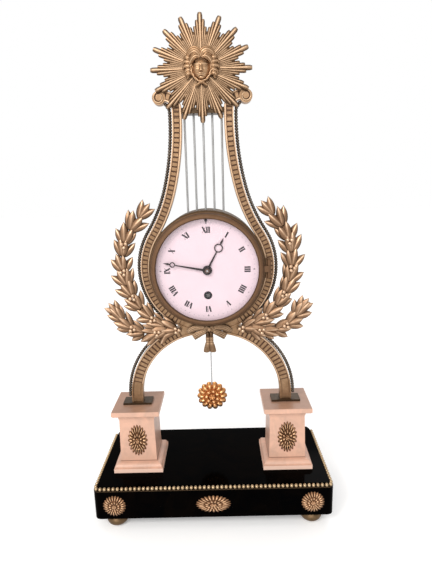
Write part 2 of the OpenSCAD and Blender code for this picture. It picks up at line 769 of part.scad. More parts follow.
// A dome of glass with a plain rim: two spheres through the same rim circle
module glass() {
    dome = (pow(dial_show_r, 2) + pow(glass_rise, 2)) / (2 * glass_rise);
    front = glass_seat - glass_t - glass_rise;
    color("lightcyan", 0.4) clock() {
        difference() {
            turned(glass_r, glass_seat - glass_t, glass_seat);
            turned(dial_show_r - 1.2, glass_seat - glass_t - 1, glass_seat + 1);
        }
        intersection() {
            difference() {
                translate([0, front + dome, 0]) sphere(dome, $fn = 128);
                translate([0, front + dome + glass_t, 0]) sphere(dome, $fn = 128);
            }
            turned(dial_show_r - 0.3, front - 1, glass_seat - 0.1);
        }
    }
}
module dial() {
    color("seashell") clock() difference() {
        turned(drum_r - 1.2, dial_front, drum_front);
        turned(2.8, dial_front - 1, drum_front + 1);
        at(barrel_p) turned(keyhole_r, dial_front - 1, drum_front + 1);
        at([0, dial_show_r - 1.6]) turned(1.5, dial_front - 1, drum_front + 1);
    }
}

// Movement plates
stud_r = 1;
plate_back = front_plate_y - plate_t;
module front_plate() {
    color(brass) clock() {
        difference() {
            turned(drum_in - seat, plate_back, front_plate_y);
            turned(0.9 + fit, plate_back - 1, front_plate_y + 1);
            at(barrel_p) turned(winding_r + fit, plate_back - 1, front_plate_y + 1);
            for (p = [inter_p, third_p, escape_p]) at(p)
                turned(pivot_r + fit, plate_back - 1, front_plate_y + 1);
            at(pallet_p) turned(pivot_r + fit, plate_back - 1, front_plate_y + 1);
        }
        at(motion_p) turned(stud_r, plate_back - 4.6, plate_back + 0.1);
        at(click_p) turned(stud_r, plate_back - 2.4, plate_back + 0.1);
    }
}
module back_plate() {
    y1 = back_plate_y + plate_t;
    color(brass) clock() difference() {
        turned(back_plate_r, back_plate_y, y1);
        for (p = [centre_p, inter_p, third_p, escape_p]) at(p)
            turned(pivot_r + fit, back_plate_y - 1, y1 + 1);
        at(barrel_p) turned(1.4 + fit, back_plate_y - 1, y1 + 1);
        at(pallet_p) turned(pallet_r + 0.6, back_plate_y - 1, y1 + 1);
    }
}
module plate_pillars() {
    y0 = front_plate_y;
    l = plate_gap;
    color(brass) clock() for (a = [25, 155, 205, 335]) at(along(back_plate_r - 5, a))
        translate([0, y0, 0]) rotate([-90, 0, 0])
        rotate_extrude() polygon([[0, 0], [3.4, 0], [3.4, 1.5], [2, 3], [2, l * 0.42], [2.8, l * 0.46],
            [2.8, l * 0.54],
            [2, l * 0.58], [2, l - 3], [3.4, l - 1.5], [3.4, l], [0, l]]);
}

// Toothed wheels. A tooth tapers from its root past the pitch circle to its tip, in shares of the pitch.
wheel_form = [[-0.25, -1.15], [-0.225, 0], [-0.09, 0.95], [0.09, 0.95], [0.225, 0], [0.25, -1.15]];
leaf_form = [[-0.17, -1.35], [-0.18, 0], [-0.1, 0.6], [0.1, 0.6], [0.18, 0], [0.17, -1.35]];
function toothed(n, m, form, turn) = [for (i = [0:n - 1]) for (k = form)
    along(m * (n / 2 + k[1]), (i + k[0]) * 360 / n + turn)];
// The tooth of a wheel at p points at q, and the leaf gap of a pinion at q points back at p
module wheel(n, m, turn, hub, bore, y0, y1) {
    rim = m * (n / 2 - 1.15) - 1.8;
    flat(y0, y1) difference() {
        union() {
            difference() {
                polygon(toothed(n, m, wheel_form, turn));
                circle(rim);
            }
            for (a = [0, 90]) rotate(a + 45) square([2 * rim + 1, 1.6], center = true);
            circle(hub);
        }
        circle(bore);
    }
}
module pinion(n, m, turn, y0, y1) {
    flat(y0, y1) polygon(toothed(n, m, leaf_form, turn));
}
module arbor(r, y0, y1) {
    turned(r, front_plate_y + seat, back_plate_y - seat);
    turned(pivot_r, y0, y1);
}
plates_y0 = plate_back;
plates_y1 = cock_y;

great_y = [9.5, 11.5];
barrel_y = [-1, 9.6];
barrel_r = 17;
inter_y = [14.5, 15.7];
centre_y = [-4.2, -3.2];
third_y = [3, 4.2];
escape_y = [8, 9];
module barrel() {
    color(brass) clock() at(barrel_p) difference() {
        union() {
            flat(great_y[0], great_y[1])
                polygon(toothed(great_n, great_m, wheel_form, bearing(barrel_p, inter_p)));
            turned(barrel_r, barrel_y[0], barrel_y[1]);
        }
        turned(barrel_r - 1.2, barrel_y[0] - 1, great_y[0] - 1);
        turned(winding_r + fit, 0, great_y[1] + 1);
    }
}
module barrel_cover() {
    color(brass) clock() at(barrel_p) difference() {
        turned(barrel_r - 1.3, barrel_y[0], barrel_y[0] + 1);
        turned(winding_r + fit, barrel_y[0] - 1, barrel_y[0] + 2);
    }
}
// Flat spring wound in the barrel, in the outer part of it
module mainspring() {
    r0 = winding_r + 1.2;
    r1 = barrel_r - 2.2;
    turns = 9;
    strip = 0.45;
    steps = turns * 20;
    function coil(i, off) = along(r0 + off + (r1 - r0 - strip) * i / steps, i * 18);
    color(steel) clock() at(barrel_p) flat(barrel_y[0] + 1.3, great_y[0] - 1.3)
        polygon(concat([for (i = [0:steps]) coil(i, 0)], [for (i = [steps:-1:0]) coil(i, strip)]));
}
module winding_arbor() {
    ratchet_front = plate_back - 2.3;
    color(steel) clock() at(barrel_p) {
        turned(winding_r, ratchet_front, back_plate_y - seat);
        turned(1.4, back_plate_y - 1, cock_y);
        flat(dial_front + 0.2, ratchet_front + 0.1) square(square_w, center = true);
    }
}
module ratchet_wheel() {
    color(steel) clock() at(barrel_p) flat(plate_back - 2.2, plate_back - 0.6) difference() {
        polygon([for (i = [0:ratchet_n - 1]) for (k = [[0, 1], [0.12, 0.84], [0.9, 0.99]])
            along(ratchet_r * k[1], (i + k[0]) * 360 / ratchet_n)]);
        circle(winding_r + fit);
    }
}
module click() {
    tip = along(ratchet_r + 0.3, bearing(barrel_p, click_p)) + barrel_p - click_p;
    a = bearing([0, 0], tip);
    side = along(1.5, a + 90);
    nose = along(0.5, a + 90);
    color(steel) clock() at(click_p) flat(plate_back - 2, plate_back - 0.6) difference() {
        union() {
            circle(2);
            polygon([-side, tip - nose, tip + nose, side]);
        }
        circle(stud_r + fit);
    }
}
module intermediate_wheel() {
    color(brass) clock() at(inter_p)
        wheel(inter_n, inter_m, bearing(inter_p, centre_p), 3.4, arbor_r + fit, inter_y[0], inter_y[1]);
}
module intermediate_arbor() {
    color(steel) clock() at(inter_p) {
        arbor(arbor_r, plates_y0, plates_y1);
        pinion(inter_leaf, great_m, bearing(inter_p, barrel_p) + 180 / inter_leaf, great_y[0] - 0.5,
            great_y[1] + 0.5);
    }
}
module centre_wheel() {
    color(brass) clock() wheel(centre_n, centre_m, bearing(centre_p, third_p), 3.4, arbor_r + fit,
        centre_y[0], centre_y[1]);
}
module centre_arbor() {
    color(steel) clock() {
        turned(arbor_r, front_plate_y + seat, back_plate_y - seat);
        turned(pivot_r, back_plate_y - 1, plates_y1);
        turned(0.9, collet_y - 0.2, front_plate_y + 1);
        pinion(centre_leaf, inter_m, bearing(centre_p, inter_p) + 180 / centre_leaf, inter_y[0] - 0.8,
            inter_y[1] + 0.8);
    }
}
module third_wheel() {
    color(brass) clock() at(third_p)
        wheel(third_n, third_m, bearing(third_p, escape_p), 3, 1 + fit, third_y[0], third_y[1]);
}
module third_arbor() {
    color(steel) clock() at(third_p) {
        arbor(1, plates_y0, plates_y1);
        pinion(third_leaf, centre_m, bearing(third_p, centre_p) + 180 / third_leaf, centre_y[0] - 0.5,
            centre_y[1] + 0.6);
    }
}
// Escape wheel: slim teeth that lean forward
module escape_wheel() {
    root = 0.82;
    color(brass) clock() at(escape_p) flat(escape_y[0], escape_y[1]) difference() {
        union() {
            difference() {
                polygon([for (i = [0:escape_n - 1])
                    for (k = [[0.1, root], [0.62, 1], [0.68, 0.99], [0.6, root]])
                    along(escape_r * k[1], (i + k[0]) * 360 / escape_n)]);
                circle(escape_r * root - 1.4);
            }
            for (a = [0, 90]) rotate(a) square([2 * escape_r * root - 2, 1.2], center = true);
            circle(2.4);
        }
        circle(0.85 + fit);
    }
}
module escape_arbor() {
    color(steel) clock() at(escape_p) {
        arbor(0.85, plates_y0, plates_y1);
        pinion(escape_leaf, third_m, bearing(escape_p, third_p) + 180 / escape_leaf, third_y[0] - 0.8,
            third_y[1] + 0.8);
    }
}
// Anchor: its pallets stand clear of the teeth by their own travel at the widest swing
pallet_clear = 0.25;
pallet_at = 42;
module pallet_anchor() {
    tip = along(escape_r + pallet_clear + 14 * tan(swing) * 0.72, 90 - pallet_at) - [0,
        pallet_rise - escape_rise];
    half = [[0, -2.2], [4.6, -1.8], [tip[0] + 0.4, tip[1] + 2], tip, [tip[0] + 1.2, tip[1]],
        [tip[0] + 3, tip[1] + 2.6], [6, 0.6], [0, 2.4]];
    color(steel) clock() at(pallet_p) flat(escape_y[0] - 0.6, escape_y[1] + 0.6) difference() {
        union() {
            circle(2.8);
            polygon(concat(half, [for (i = [len(half) - 1:-1:0]) [-half[i][0], half[i][1]]]));
        }
        circle(pallet_r + fit);
    }
}
crutch_l = 24;
crutch_y = cock_y + 1.6;
cock_bar_y = [cock_y + 4.2, cock_y + 6.2];
module pallet_arbor() {
    w = 1.6;
    gap = rod_d / 2 + 0.35;
    color(steel) clock() at(pallet_p) {
        turned(pallet_r, front_plate_y + seat, cock_bar_y[0] - seat);
        turned(pivot_r, plates_y0, cock_bar_y[1]);
        flat(crutch_y, crutch_y + 1.2) union() {
            translate([-w / 2, -crutch_l]) square([w, crutch_l]);
            circle(2.2);
            translate([-gap - w, -crutch_l - w]) square([2 * (gap + w), w + 0.2]);
        }
        for (s = [-1, 1])
            translate([s * (gap + w / 2) - w / 2, crutch_y, -crutch_l - w])
                cube([w, pendulum_y + 1.4 - crutch_y, w]);
    }
}
// Cock: two feet on the back plate, a bar behind them and a cheeked stud for the suspension
spring_top = 8;
spring_w = 4;
spring_t = 0.3;
spring_end = 6;
block_w = 6;
block_t = 3.2;
block_h = 6;
module back_cock() {
    half = 11;
    color(brass) clock() at(pallet_p) {
        difference() {
            union() {
                for (s = [-1, 1])
                    translate([s * half - 2, cock_y, -3]) cube([4, cock_bar_y[1] - cock_y, 6]);
                translate([-half, cock_bar_y[0], -3]) cube([2 * half, cock_bar_y[1] - cock_bar_y[0], 6]);
                translate([-4, cock_bar_y[0], 2.9])
                    cube([8, pendulum_y + 2.5 - cock_bar_y[0], spring_top + 2 - 2.9]);
            }
            turned(pivot_r + fit, cock_bar_y[0] - 1, cock_bar_y[1] + 1);
            translate([-spring_w / 2 - 0.8, pendulum_y - spring_t / 2 - 0.12, 2])
                cube([spring_w + 1.6, spring_t + 0.24, spring_top - 2 + 0.5]);
        }
    }
}
module suspension_spring() {
    color(steel) clock() at(pallet_p) translate([-spring_w / 2, pendulum_y - spring_t / 2, -spring_end])
        cube([spring_w, spring_t, spring_end + spring_top]);
}
module pendulum_rod() {
    r = rod_d / 2;
    l = pendulum_l - bob_r * 0.5;
    color(steel) clock() at(pallet_p) translate([0, pendulum_y, 0]) {
        difference() {
            translate([-block_w / 2, -block_t / 2, 1 - spring_end - block_h])
                cube([block_w, block_t, block_h]);
            translate([-spring_w / 2 - fit, -spring_t / 2 - fit, -spring_end - 0.05])
                cube([spring_w + 2 * fit, spring_t + 2 * fit, 8]);
        }
        translate([0, 0, -l]) cylinder(r = r, h = l - spring_end - block_h + 2);
    }
}
// Bob: a turned lens with a many-petalled flower on its front
module pendulum_bob() {
    t = 3;
    color(gilt) clock() at(pallet_p) translate([0, pendulum_y, -pendulum_l]) difference() {
        union() {
            translate([0, -t + 0.5, 0]) flower(2 * bob_r, 2 * bob_r, 4.5, 18);
            turned(bob_r * 0.86, -t, t * 0.6);
            rotate([-90, 0, 0]) translate([0, 0, t * 0.6 - 0.1])
                cylinder(r1 = bob_r * 0.8, r2 = bob_r * 0.3, h = 2);
        }
        translate([0, 0, bob_r * 0.5 - 0.5]) cylinder(r = rod_d / 2 + fit, h = bob_r);
    }
}

// Motion work between the front plate and the dial
motion_y = [plate_back - 2, plate_back - 0.6];
hour_y = [plate_back - 4, plate_back - 2.8];
pipe_r = 1.5;
hour_pipe_r = 2.3;
hour_hand_y = dial_front - 0.4;
minute_hand_y = hour_hand_y - 1.9;
hand_t = 0.6;
boss_t = 1.4;
collet_y = minute_hand_y - boss_t - 1.2;
module motion_wheel() {
    turn = bearing(motion_p, centre_p);
    color(brass) clock() at(motion_p) difference() {
        union() {
            flat(motion_y[0], motion_y[1]) polygon(toothed(motion_n, motion_m, wheel_form, turn));
            pinion(motion_leaf, motion_m, turn + 180 / motion_leaf, hour_y[0] - 0.3, motion_y[0] + 0.1);
        }
        turned(stud_r + fit, hour_y[0] - 1, motion_y[1] + 1);
    }
}
module hour_wheel() {
    color(brass) clock() difference() {
        union() {
            flat(hour_y[0], hour_y[1])
                polygon(toothed(hour_n, motion_m, wheel_form, bearing(centre_p, motion_p)));
            turned(hour_pipe_r, hour_hand_y - boss_t, hour_y[1]);
        }
        turned(pipe_r + fit, hour_hand_y - boss_t - 1, hour_y[1] + 1);
    }
}
module cannon_pinion() {
    color(steel) clock() difference() {
        union() {
            pinion(cannon_leaf, motion_m, bearing(centre_p, motion_p) + 180 / cannon_leaf,
                motion_y[0] - 0.2, motion_y[1] + 0.3);
            turned(pipe_r, minute_hand_y - boss_t + 0.1, motion_y[1] + 0.3);
        }
        turned(0.9 + fit, minute_hand_y - 3, motion_y[1] + 1);
    }
}
// A ring hand: boss, slim shaft, ring and a leaf-shaped point
module ring_hand(l, ring_at, ring_d, boss_r, bore, y) {
    w = 0.55;
    flat(y - hand_t - 0.3, y - 0.3) difference() {
        union() {
            polygon([[-1.1, 0], [-w, ring_at - ring_d / 2 + 0.3], [w, ring_at - ring_d / 2 + 0.3],
                [1.1, 0]]);
            translate([0, ring_at]) circle(d = ring_d);
            polygon([[-0.5, ring_at + ring_d / 2 - 0.3], [-1.1, ring_at + ring_d / 2 + 1.8], [0, l],
                [1.1, ring_at + ring_d / 2 + 1.8],
                [0.5, ring_at + ring_d / 2 - 0.3]]);
            circle(boss_r - 0.5);
        }
        translate([0, ring_at]) circle(d = ring_d - 1.9);
        circle(bore);
    }
    difference() {
        turned(boss_r, y - boss_t, y);
        turned(bore, y - boss_t - 1, y + 1);
    }
}
module hour_hand() {
    color("midnightblue") clock() rotate([0, hour_angle, 0])
        ring_hand(hour_l, hour_l * 0.69, hour_l * 0.24, 4.6, hour_pipe_r + fit, hour_hand_y);
}
module minute_hand() {
    color("midnightblue") clock() rotate([0, minute_angle, 0])
        ring_hand(minute_l, minute_l * 0.79, minute_l * 0.1256, 3.8, pipe_r + fit, minute_hand_y);
}
module hand_collet() {
    color(brass) clock() difference() {
        turned(2.2, collet_y, minute_hand_y - boss_t);
        turned(0.9 + fit, collet_y - 1, minute_hand_y);
    }
}

base_slab();
base_beading();
bun_feet();
base_rosettes();
base_patera();
pedestal_left();
pedestal_right();
pedestal_patera_left();
pedestal_patera_right();
leg_left();
leg_right();
arm_left();
arm_right();
leg_pearls_left();
leg_pearls_right();
arm_pearls_left();
arm_pearls_right();
crossbar();
strings();
sunburst();
sun_mask();
laurel_left();
laurel_right();
ribbon_bow();
tassels();
drum_case();
rear_cover();
bezel();
bezel_hinge_pin();
glass();
dial();
front_plate();
back_plate();
plate_pillars();
barrel();
barrel_cover();
mainspring();
winding_arbor();
ratchet_wheel();
click();
intermediate_wheel();
intermediate_arbor();
centre_wheel();
centre_arbor();
third_wheel();
third_arbor();
escape_wheel();
escape_arbor();
pallet_anchor();
pallet_arbor();
back_cock();
suspension_spring();
pendulum_rod();
pendulum_bob();
motion_wheel();
hour_wheel();
cannon_pinion();
hour_hand();
minute_hand();
hand_collet();
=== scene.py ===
# Looks of the lyre clock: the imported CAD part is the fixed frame, the cast ornaments are drawn anew round it
import math

import bmesh
import bpy
import numpy as np
from mathutils import Matrix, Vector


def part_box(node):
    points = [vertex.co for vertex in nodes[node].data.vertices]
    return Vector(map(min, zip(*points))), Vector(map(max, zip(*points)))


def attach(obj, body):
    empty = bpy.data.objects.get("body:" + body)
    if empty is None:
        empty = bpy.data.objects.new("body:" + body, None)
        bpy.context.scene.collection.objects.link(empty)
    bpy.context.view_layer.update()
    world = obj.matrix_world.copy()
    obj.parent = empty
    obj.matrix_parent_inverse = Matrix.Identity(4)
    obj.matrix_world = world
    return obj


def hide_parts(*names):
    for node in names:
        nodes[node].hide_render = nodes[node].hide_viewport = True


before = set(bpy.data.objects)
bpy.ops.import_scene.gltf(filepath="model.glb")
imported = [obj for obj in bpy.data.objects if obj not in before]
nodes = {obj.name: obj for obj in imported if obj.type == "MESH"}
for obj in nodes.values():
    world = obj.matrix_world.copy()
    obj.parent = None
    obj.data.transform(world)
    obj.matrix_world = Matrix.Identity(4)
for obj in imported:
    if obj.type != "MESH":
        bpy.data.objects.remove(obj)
scene = bpy.context.scene
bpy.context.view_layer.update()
rng = np.random.default_rng(11)
print("frame loaded:", len(nodes), "nodes")


# Places are read from the frame, in millimetres
def nodeBox(name):
    low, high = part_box(name)
    return np.array(low) * 1000, np.array(high) * 1000


# Centre of a node's box
def middle(name):
    low, high = nodeBox(name)
    return (low + high) / 2


dialMid = middle("dial")
dialFront = nodeBox("dial")[0][1]
dialAxis = np.array([dialMid[0], 0, dialMid[2]])
sunMid = middle("sunburst")
sunLow, sunHigh = nodeBox("sunburst")


# Surfaces: a sheet is a grid of points, its rows closed rings, with a painted shading value at each point:
# below 0 it paints shade, above 0 it paints a highlight
def sheet(points, closed=False, paintedShading=0.0):
    points = np.asarray(points, float)
    paintedShading = np.broadcast_to(paintedShading, points.shape[:2]).astype(float)
    return {"points": points, "closed": closed, "paintedShading": paintedShading}


# The four corners of each cell of the grid; a closed sheet joins its last row to its first
def gridFaces(rows, count, closed):
    a, b = np.meshgrid(np.arange(rows if closed else rows - 1), np.arange(count), indexing="ij")
    c, d = (a + 1) % rows, (b + 1) % count
    return np.stack([a * count + b, a * count + d, c * count + d, c * count + b], -1).reshape(-1, 4)


# A sheet drawn round the origin is mirrored by side -1 and moved to its place
def placed(one, side, origin):
    one["points"] = one["points"] * np.array([side, 1, 1]) + origin
    return one


# Rows are closed at both ends by the middle of the first and of the last one
def capped(rows):
    first, last = (np.broadcast_to(row.mean(0), row.shape)[None] for row in (rows[0], rows[-1]))
    return np.concatenate([first, rows, last])


# A plaque: four corners at one depth, raised towards the front
def plaque(x, z, depth, tall, paintedShading=0.0):
    foot = np.stack([x, np.full(4, depth), z], -1)
    return sheet(capped(np.stack([foot, foot - np.array([0, tall, 0])])), paintedShading=paintedShading)


# An object with its data, linked to the scene
def addObject(name, data):
    made = bpy.data.objects.new(name, data)
    scene.collection.objects.link(made)
    return made


# A finished mesh becomes an object on its body
def addPiece(mesh, material, replaced=(), body="stand", smooth=True):
    mesh.polygons.foreach_set("use_smooth", np.full(len(mesh.polygons), smooth))
    mesh.materials.clear()
    mesh.materials.append(material)
    mesh.update()
    piece = addObject(mesh.name, mesh)
    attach(piece, body)
    if replaced:
        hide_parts(*replaced)
    print("piece", mesh.name, len(mesh.polygons), "faces")


# One mesh of many sheets: poles and seams are welded, and the normals look outwards
def makePiece(name, sheets, material, replaced=(), body="stand", smooth=True):
    points, faces, shadingValues, start = [], [], [], 0
    for s in sheets:
        rows, count = s["points"].shape[:2]
        points.append(s["points"].reshape(-1, 3))
        shadingValues.append(s["paintedShading"].reshape(-1))
        faces.append(gridFaces(rows, count, s["closed"]) + start)
        start += rows * count
    points, faces, shadingValues = np.concatenate(points) * 0.001, np.concatenate(faces), np.concatenate(shadingValues)
    mesh = bpy.data.meshes.new(name)
    mesh.vertices.add(len(points))
    mesh.vertices.foreach_set("co", points.astype(np.float32).ravel())
    mesh.loops.add(faces.size)
    mesh.loops.foreach_set("vertex_index", faces.astype(np.int32).ravel())
    mesh.polygons.add(len(faces))
    mesh.polygons.foreach_set("loop_start", np.arange(0, faces.size, 4, dtype=np.int32))
    mesh.polygons.foreach_set("loop_total", np.full(len(faces), 4, np.int32))
    # Painted shade and highlight of each point reach the mesh's colour through this attribute
    mesh.attributes.new("paintedShading", "FLOAT", "POINT").data.foreach_set("value", shadingValues.astype(np.float32))
    mesh.update(calc_edges=True)
    work = bmesh.new()
    work.from_mesh(mesh)
    bmesh.ops.remove_doubles(work, verts=work.verts, dist=2e-6)
    bmesh.ops.dissolve_degenerate(work, edges=work.edges, dist=1e-7)
    bmesh.ops.recalc_face_normals(work, faces=work.faces)
    work.to_mesh(mesh)
    work.free()
    addPiece(mesh, material, replaced, body, smooth)


# Angles spread evenly round a circle, as a row
def circle(count):
    return np.linspace(0, 2 * np.pi, count, endpoint=False)[None, :]


# Vectors divided by their lengths
def unit(v):
    return v / np.maximum(np.linalg.norm(v, axis=-1, keepdims=True), 1e-9)


# Unit steps along a path and, as seen from the front, across it
def pathFrame(path):
    along = unit(np.gradient(path, axis=0))
    return along, unit(np.cross(along, [0.0, -1.0, 0.0]))


# A tube round a path: ring k is centred on path point k, its radius split into a side and a front share
def tube(path, side, front, count, paintedShading=0.0, flutes=0, fluteDepth=0.0, twist=0.0):
    path = np.asarray(path, float)
    n = len(path)
    side, front = (np.broadcast_to(r, n).astype(float)[:, None] for r in (side, front))
    along, across = pathFrame(path)
    out = np.cross(across, along)
    turn = circle(count)
    rows = np.linspace(0, 1, n)[:, None]
    groove = 1 - fluteDepth * (0.5 - 0.5 * np.cos(flutes * turn + twist * rows * 2 * np.pi))
    ring = path[:, None, :] + across[:, None, :] * (side * np.cos(turn) * groove)[..., None]
    ring = ring + out[:, None, :] * (front * np.sin(turn) * groove)[..., None]
    ends = np.concatenate([np.repeat(path[None, :1], count, 1), ring, np.repeat(path[None, -1:], count, 1)])
    # Painted shade in the bottoms of the flutes and painted highlight on their crests
    contrast = 1.5 / max(fluteDepth, 1e-6) if flutes else 0
    shade = np.broadcast_to(paintedShading, (n, count)) + (groove - 1 + fluteDepth * 0.4) * contrast
    return sheet(ends, paintedShading=np.concatenate([shade[:1], shade, shade[-1:]]))


# A smooth path through points given as (x, y, z): cubic pieces whose slopes agree at the points
def curve(points, steps):
    points = np.asarray(points, float)
    chord = np.concatenate([[0], np.cumsum(np.linalg.norm(np.diff(points, axis=0), axis=1))])
    slope = np.gradient(points, chord, axis=0)
    at = np.linspace(0, chord[-1], steps)
    k = np.clip(np.searchsorted(chord, at, side="right") - 1, 0, len(points) - 2)
    h = (chord[k + 1] - chord[k])[:, None]
    t = ((at - chord[k]) / h[:, 0])[:, None]
    start = points[k] * (2 * t**3 - 3 * t**2 + 1) + slope[k] * h * (t**3 - 2 * t**2 + t)
    return start + points[k + 1] * (3 * t**2 - 2 * t**3) + slope[k + 1] * h * (t**3 - t**2)


# Points given as (across, forward, up) become places on one side
def toSide(points, side):
    return [(side * x, -y, z) for x, y, z in points]


# An ellipsoid by latitude and longitude, its poles on the axis towards the front
def ball(centre, radius, rows=9, count=14, paintedShading=0.0):
    lat = np.linspace(-np.pi / 2, np.pi / 2, rows)[:, None]
    lon = circle(count)
    rx, ry, rz = np.broadcast_to(radius, 3)
    x, z = rx * np.cos(lat) * np.cos(lon), rz * np.cos(lat) * np.sin(lon)
    return sheet(np.stack([x, ry * np.sin(lat) * np.ones_like(lon), z], -1) + np.asarray(centre), paintedShading=paintedShading)


# A bell-shaped bump of height 1 at (cx, cz)
def gauss(x, z, cx, cz, sx, sz):
    return np.exp(-((x - cx) / sx) ** 2 / 2 - ((z - cz) / sz) ** 2 / 2)


# Smooth rise from 0 at a to 1 at b
def ease(x, a, b):
    t = np.clip((x - a) / (b - a), 0, 1)
    return t * t * (3 - 2 * t)


# Materials: a shader node with constants on its inputs
def nodeOf(tree, kind, **values):
    made = tree.nodes.new("ShaderNode" + kind)
    for key, value in values.items():
        made.inputs[key].default_value = value
    return made


# The first node of a kind in a tree
def firstNode(tree, kind):
    return next(n for n in tree.nodes if n.bl_idname == "ShaderNode" + kind)


# Links one node's output to another one's input
def wire(source, target):
    source.id_data.links.new(source, target)


# A calculation with the value that is linked to its first socket; the other values are given here
def mathOf(tree, operation, *others):
    made = nodeOf(tree, "Math")
    made.operation = operation
    for k, value in enumerate(others, 1):
        made.inputs[k].default_value = value
    return made


# A noise over a place, as a height
def noiseOf(tree, place, **values):
    noise = nodeOf(tree, "TexNoise", **values)
    wire(place, noise.inputs["Vector"])
    return noise.outputs["Fac"]


# Base colour from a height, through stops of position and colour: the two ends, then what lies between
def rampColour(tree, shader, height, *stops):
    ramp = nodeOf(tree, "ValToRGB")
    elements = ramp.color_ramp.elements
    for k, (position, colour) in enumerate(stops):
        element = elements[k] if k < 2 else elements.new(position)
        element.position, element.color = position, (*colour, 1)
    wire(height, ramp.inputs["Fac"])
    wire(ramp.outputs["Color"], shader.inputs["Base Color"])


# One shader with constants only
def plainMaterial(name, colour, metallic, roughness, alpha=1.0):
    material = bpy.data.materials.new(name)
    material.use_nodes = True
    shader = material.node_tree.nodes["Principled BSDF"]
    shader.inputs["Base Color"].default_value = (*colour, 1)
    shader.inputs["Metallic"].default_value = metallic
    shader.inputs["Roughness"].default_value = roughness
    shader.inputs["Alpha"].default_value = alpha
    return material, material.node_tree, shader


# Roughness and bump from one height: the low places are rougher
def surfaceDetail(tree, shader, height, roughness, share, bump):
    rough = mathOf(tree, "MULTIPLY_ADD", -share, roughness + share / 2)
    relief = nodeOf(tree, "Bump", Strength=bump, Distance=0.0003)
    wire(height, rough.inputs[0])
    wire(height, relief.inputs["Height"])
    wire(rough.outputs[0], shader.inputs["Roughness"])
    wire(relief.outputs["Normal"], shader.inputs["Normal"])


# Grain: a noise, stretched as the metal was drawn or brushed, shifts colour, roughness and height a little
def grainMaterial(name, colour, metallic, roughness, stretch, scale, share, bump, alpha=1.0):
    material, tree, shader = plainMaterial(name, colour, metallic, roughness, alpha)
    along = nodeOf(tree, "Mapping", Scale=stretch)
    wire(nodeOf(tree, "TexCoord").outputs["Object"], along.inputs["Vector"])
    grain = noiseOf(tree, along.outputs["Vector"], Scale=scale, Detail=5.0, Roughness=0.6)
    darker, paler = (np.clip(np.array(colour) * factor, 0, 1) for factor in (1 - share, 1 + share))
    rampColour(tree, shader, grain, (0.3, darker), (0.7, paler))
    surfaceDetail(tree, shader, grain, roughness, roughness * 0.5, bump)
    return material


# Cast metal: two noises shift the colour between tarnish and burnish, and the painted shading value adds
# painted shade and painted highlight to them
def castMaterial(name, dark, base, bright, roughness, spread=0.5, shadingShare=0.8, metallic=0.85):
    material, tree, shader = plainMaterial(name, base, metallic, roughness)
    place = nodeOf(tree, "TexCoord").outputs["Object"]
    fine = noiseOf(tree, place, Scale=260.0, Detail=4.0, Roughness=0.6)
    broad = noiseOf(tree, place, Scale=31.2, Detail=2.0)
    paintedShading = nodeOf(tree, "Attribute")
    paintedShading.attribute_name = "paintedShading"
    blend = nodeOf(tree, "Mix")
    blend.inputs[0].default_value = 0.45  # share of the broad noise
    spreadOut = mathOf(tree, "MULTIPLY_ADD", spread, 0.5 - spread / 2)
    addShading = mathOf(tree, "MULTIPLY_ADD", shadingShare / 2)
    wire(fine, blend.inputs[2])
    wire(broad, blend.inputs[3])
    wire(blend.outputs[0], spreadOut.inputs[0])
    wire(paintedShading.outputs["Fac"], addShading.inputs[0])
    wire(spreadOut.outputs[0], addShading.inputs[2])
    rampColour(tree, shader, addShading.outputs[0], (0, dark), (1, bright), (0.5, base))
    surfaceDetail(tree, shader, fine, roughness, 0.16, 0.3)
    return material


# Object coordinates counted from the dial's middle
def fromDial(tree, scale):
    centre = nodeOf(tree, "Mapping", Location=tuple(-dialAxis / 1000), Scale=scale)
    wire(firstNode(tree, "TexCoord").outputs["Object"], centre.inputs["Vector"])
    return centre.outputs["Vector"]


# Turned metal: rings round the dial's axis are added to a material's height
def turnedRings(material, pitch, bump):
    tree = material.node_tree
    relief = firstNode(tree, "Bump")
    wave = nodeOf(tree, "TexWave", Scale=0.314 / pitch, Distortion=1.5, Detail=2.0)
    wave.wave_type, wave.rings_direction = "RINGS", "Y"
    turned = nodeOf(tree, "Bump", Strength=bump, Distance=0.0002)
    wire(fromDial(tree, (1, 1, 1)), wave.inputs["Vector"])
    wire(wave.outputs["Fac"], turned.inputs["Height"])
    wire(turned.outputs["Normal"], relief.inputs["Normal"])


# Marble: a warped noise draws faint veins over an even ground
def marbleMaterial(name, ground, vein, roughness, scale):
    material, tree, shader = plainMaterial(name, ground, 0.0, roughness)
    place = nodeOf(tree, "TexCoord").outputs["Object"]
    veins = noiseOf(tree, place, Scale=scale, Detail=6.0, Roughness=0.62, Distortion=1.4)
    rampColour(tree, shader, veins, (0.3, vein), (0.62, ground))
    surfaceDetail(tree, shader, veins, roughness, roughness * 0.4, 0.06)
    return material


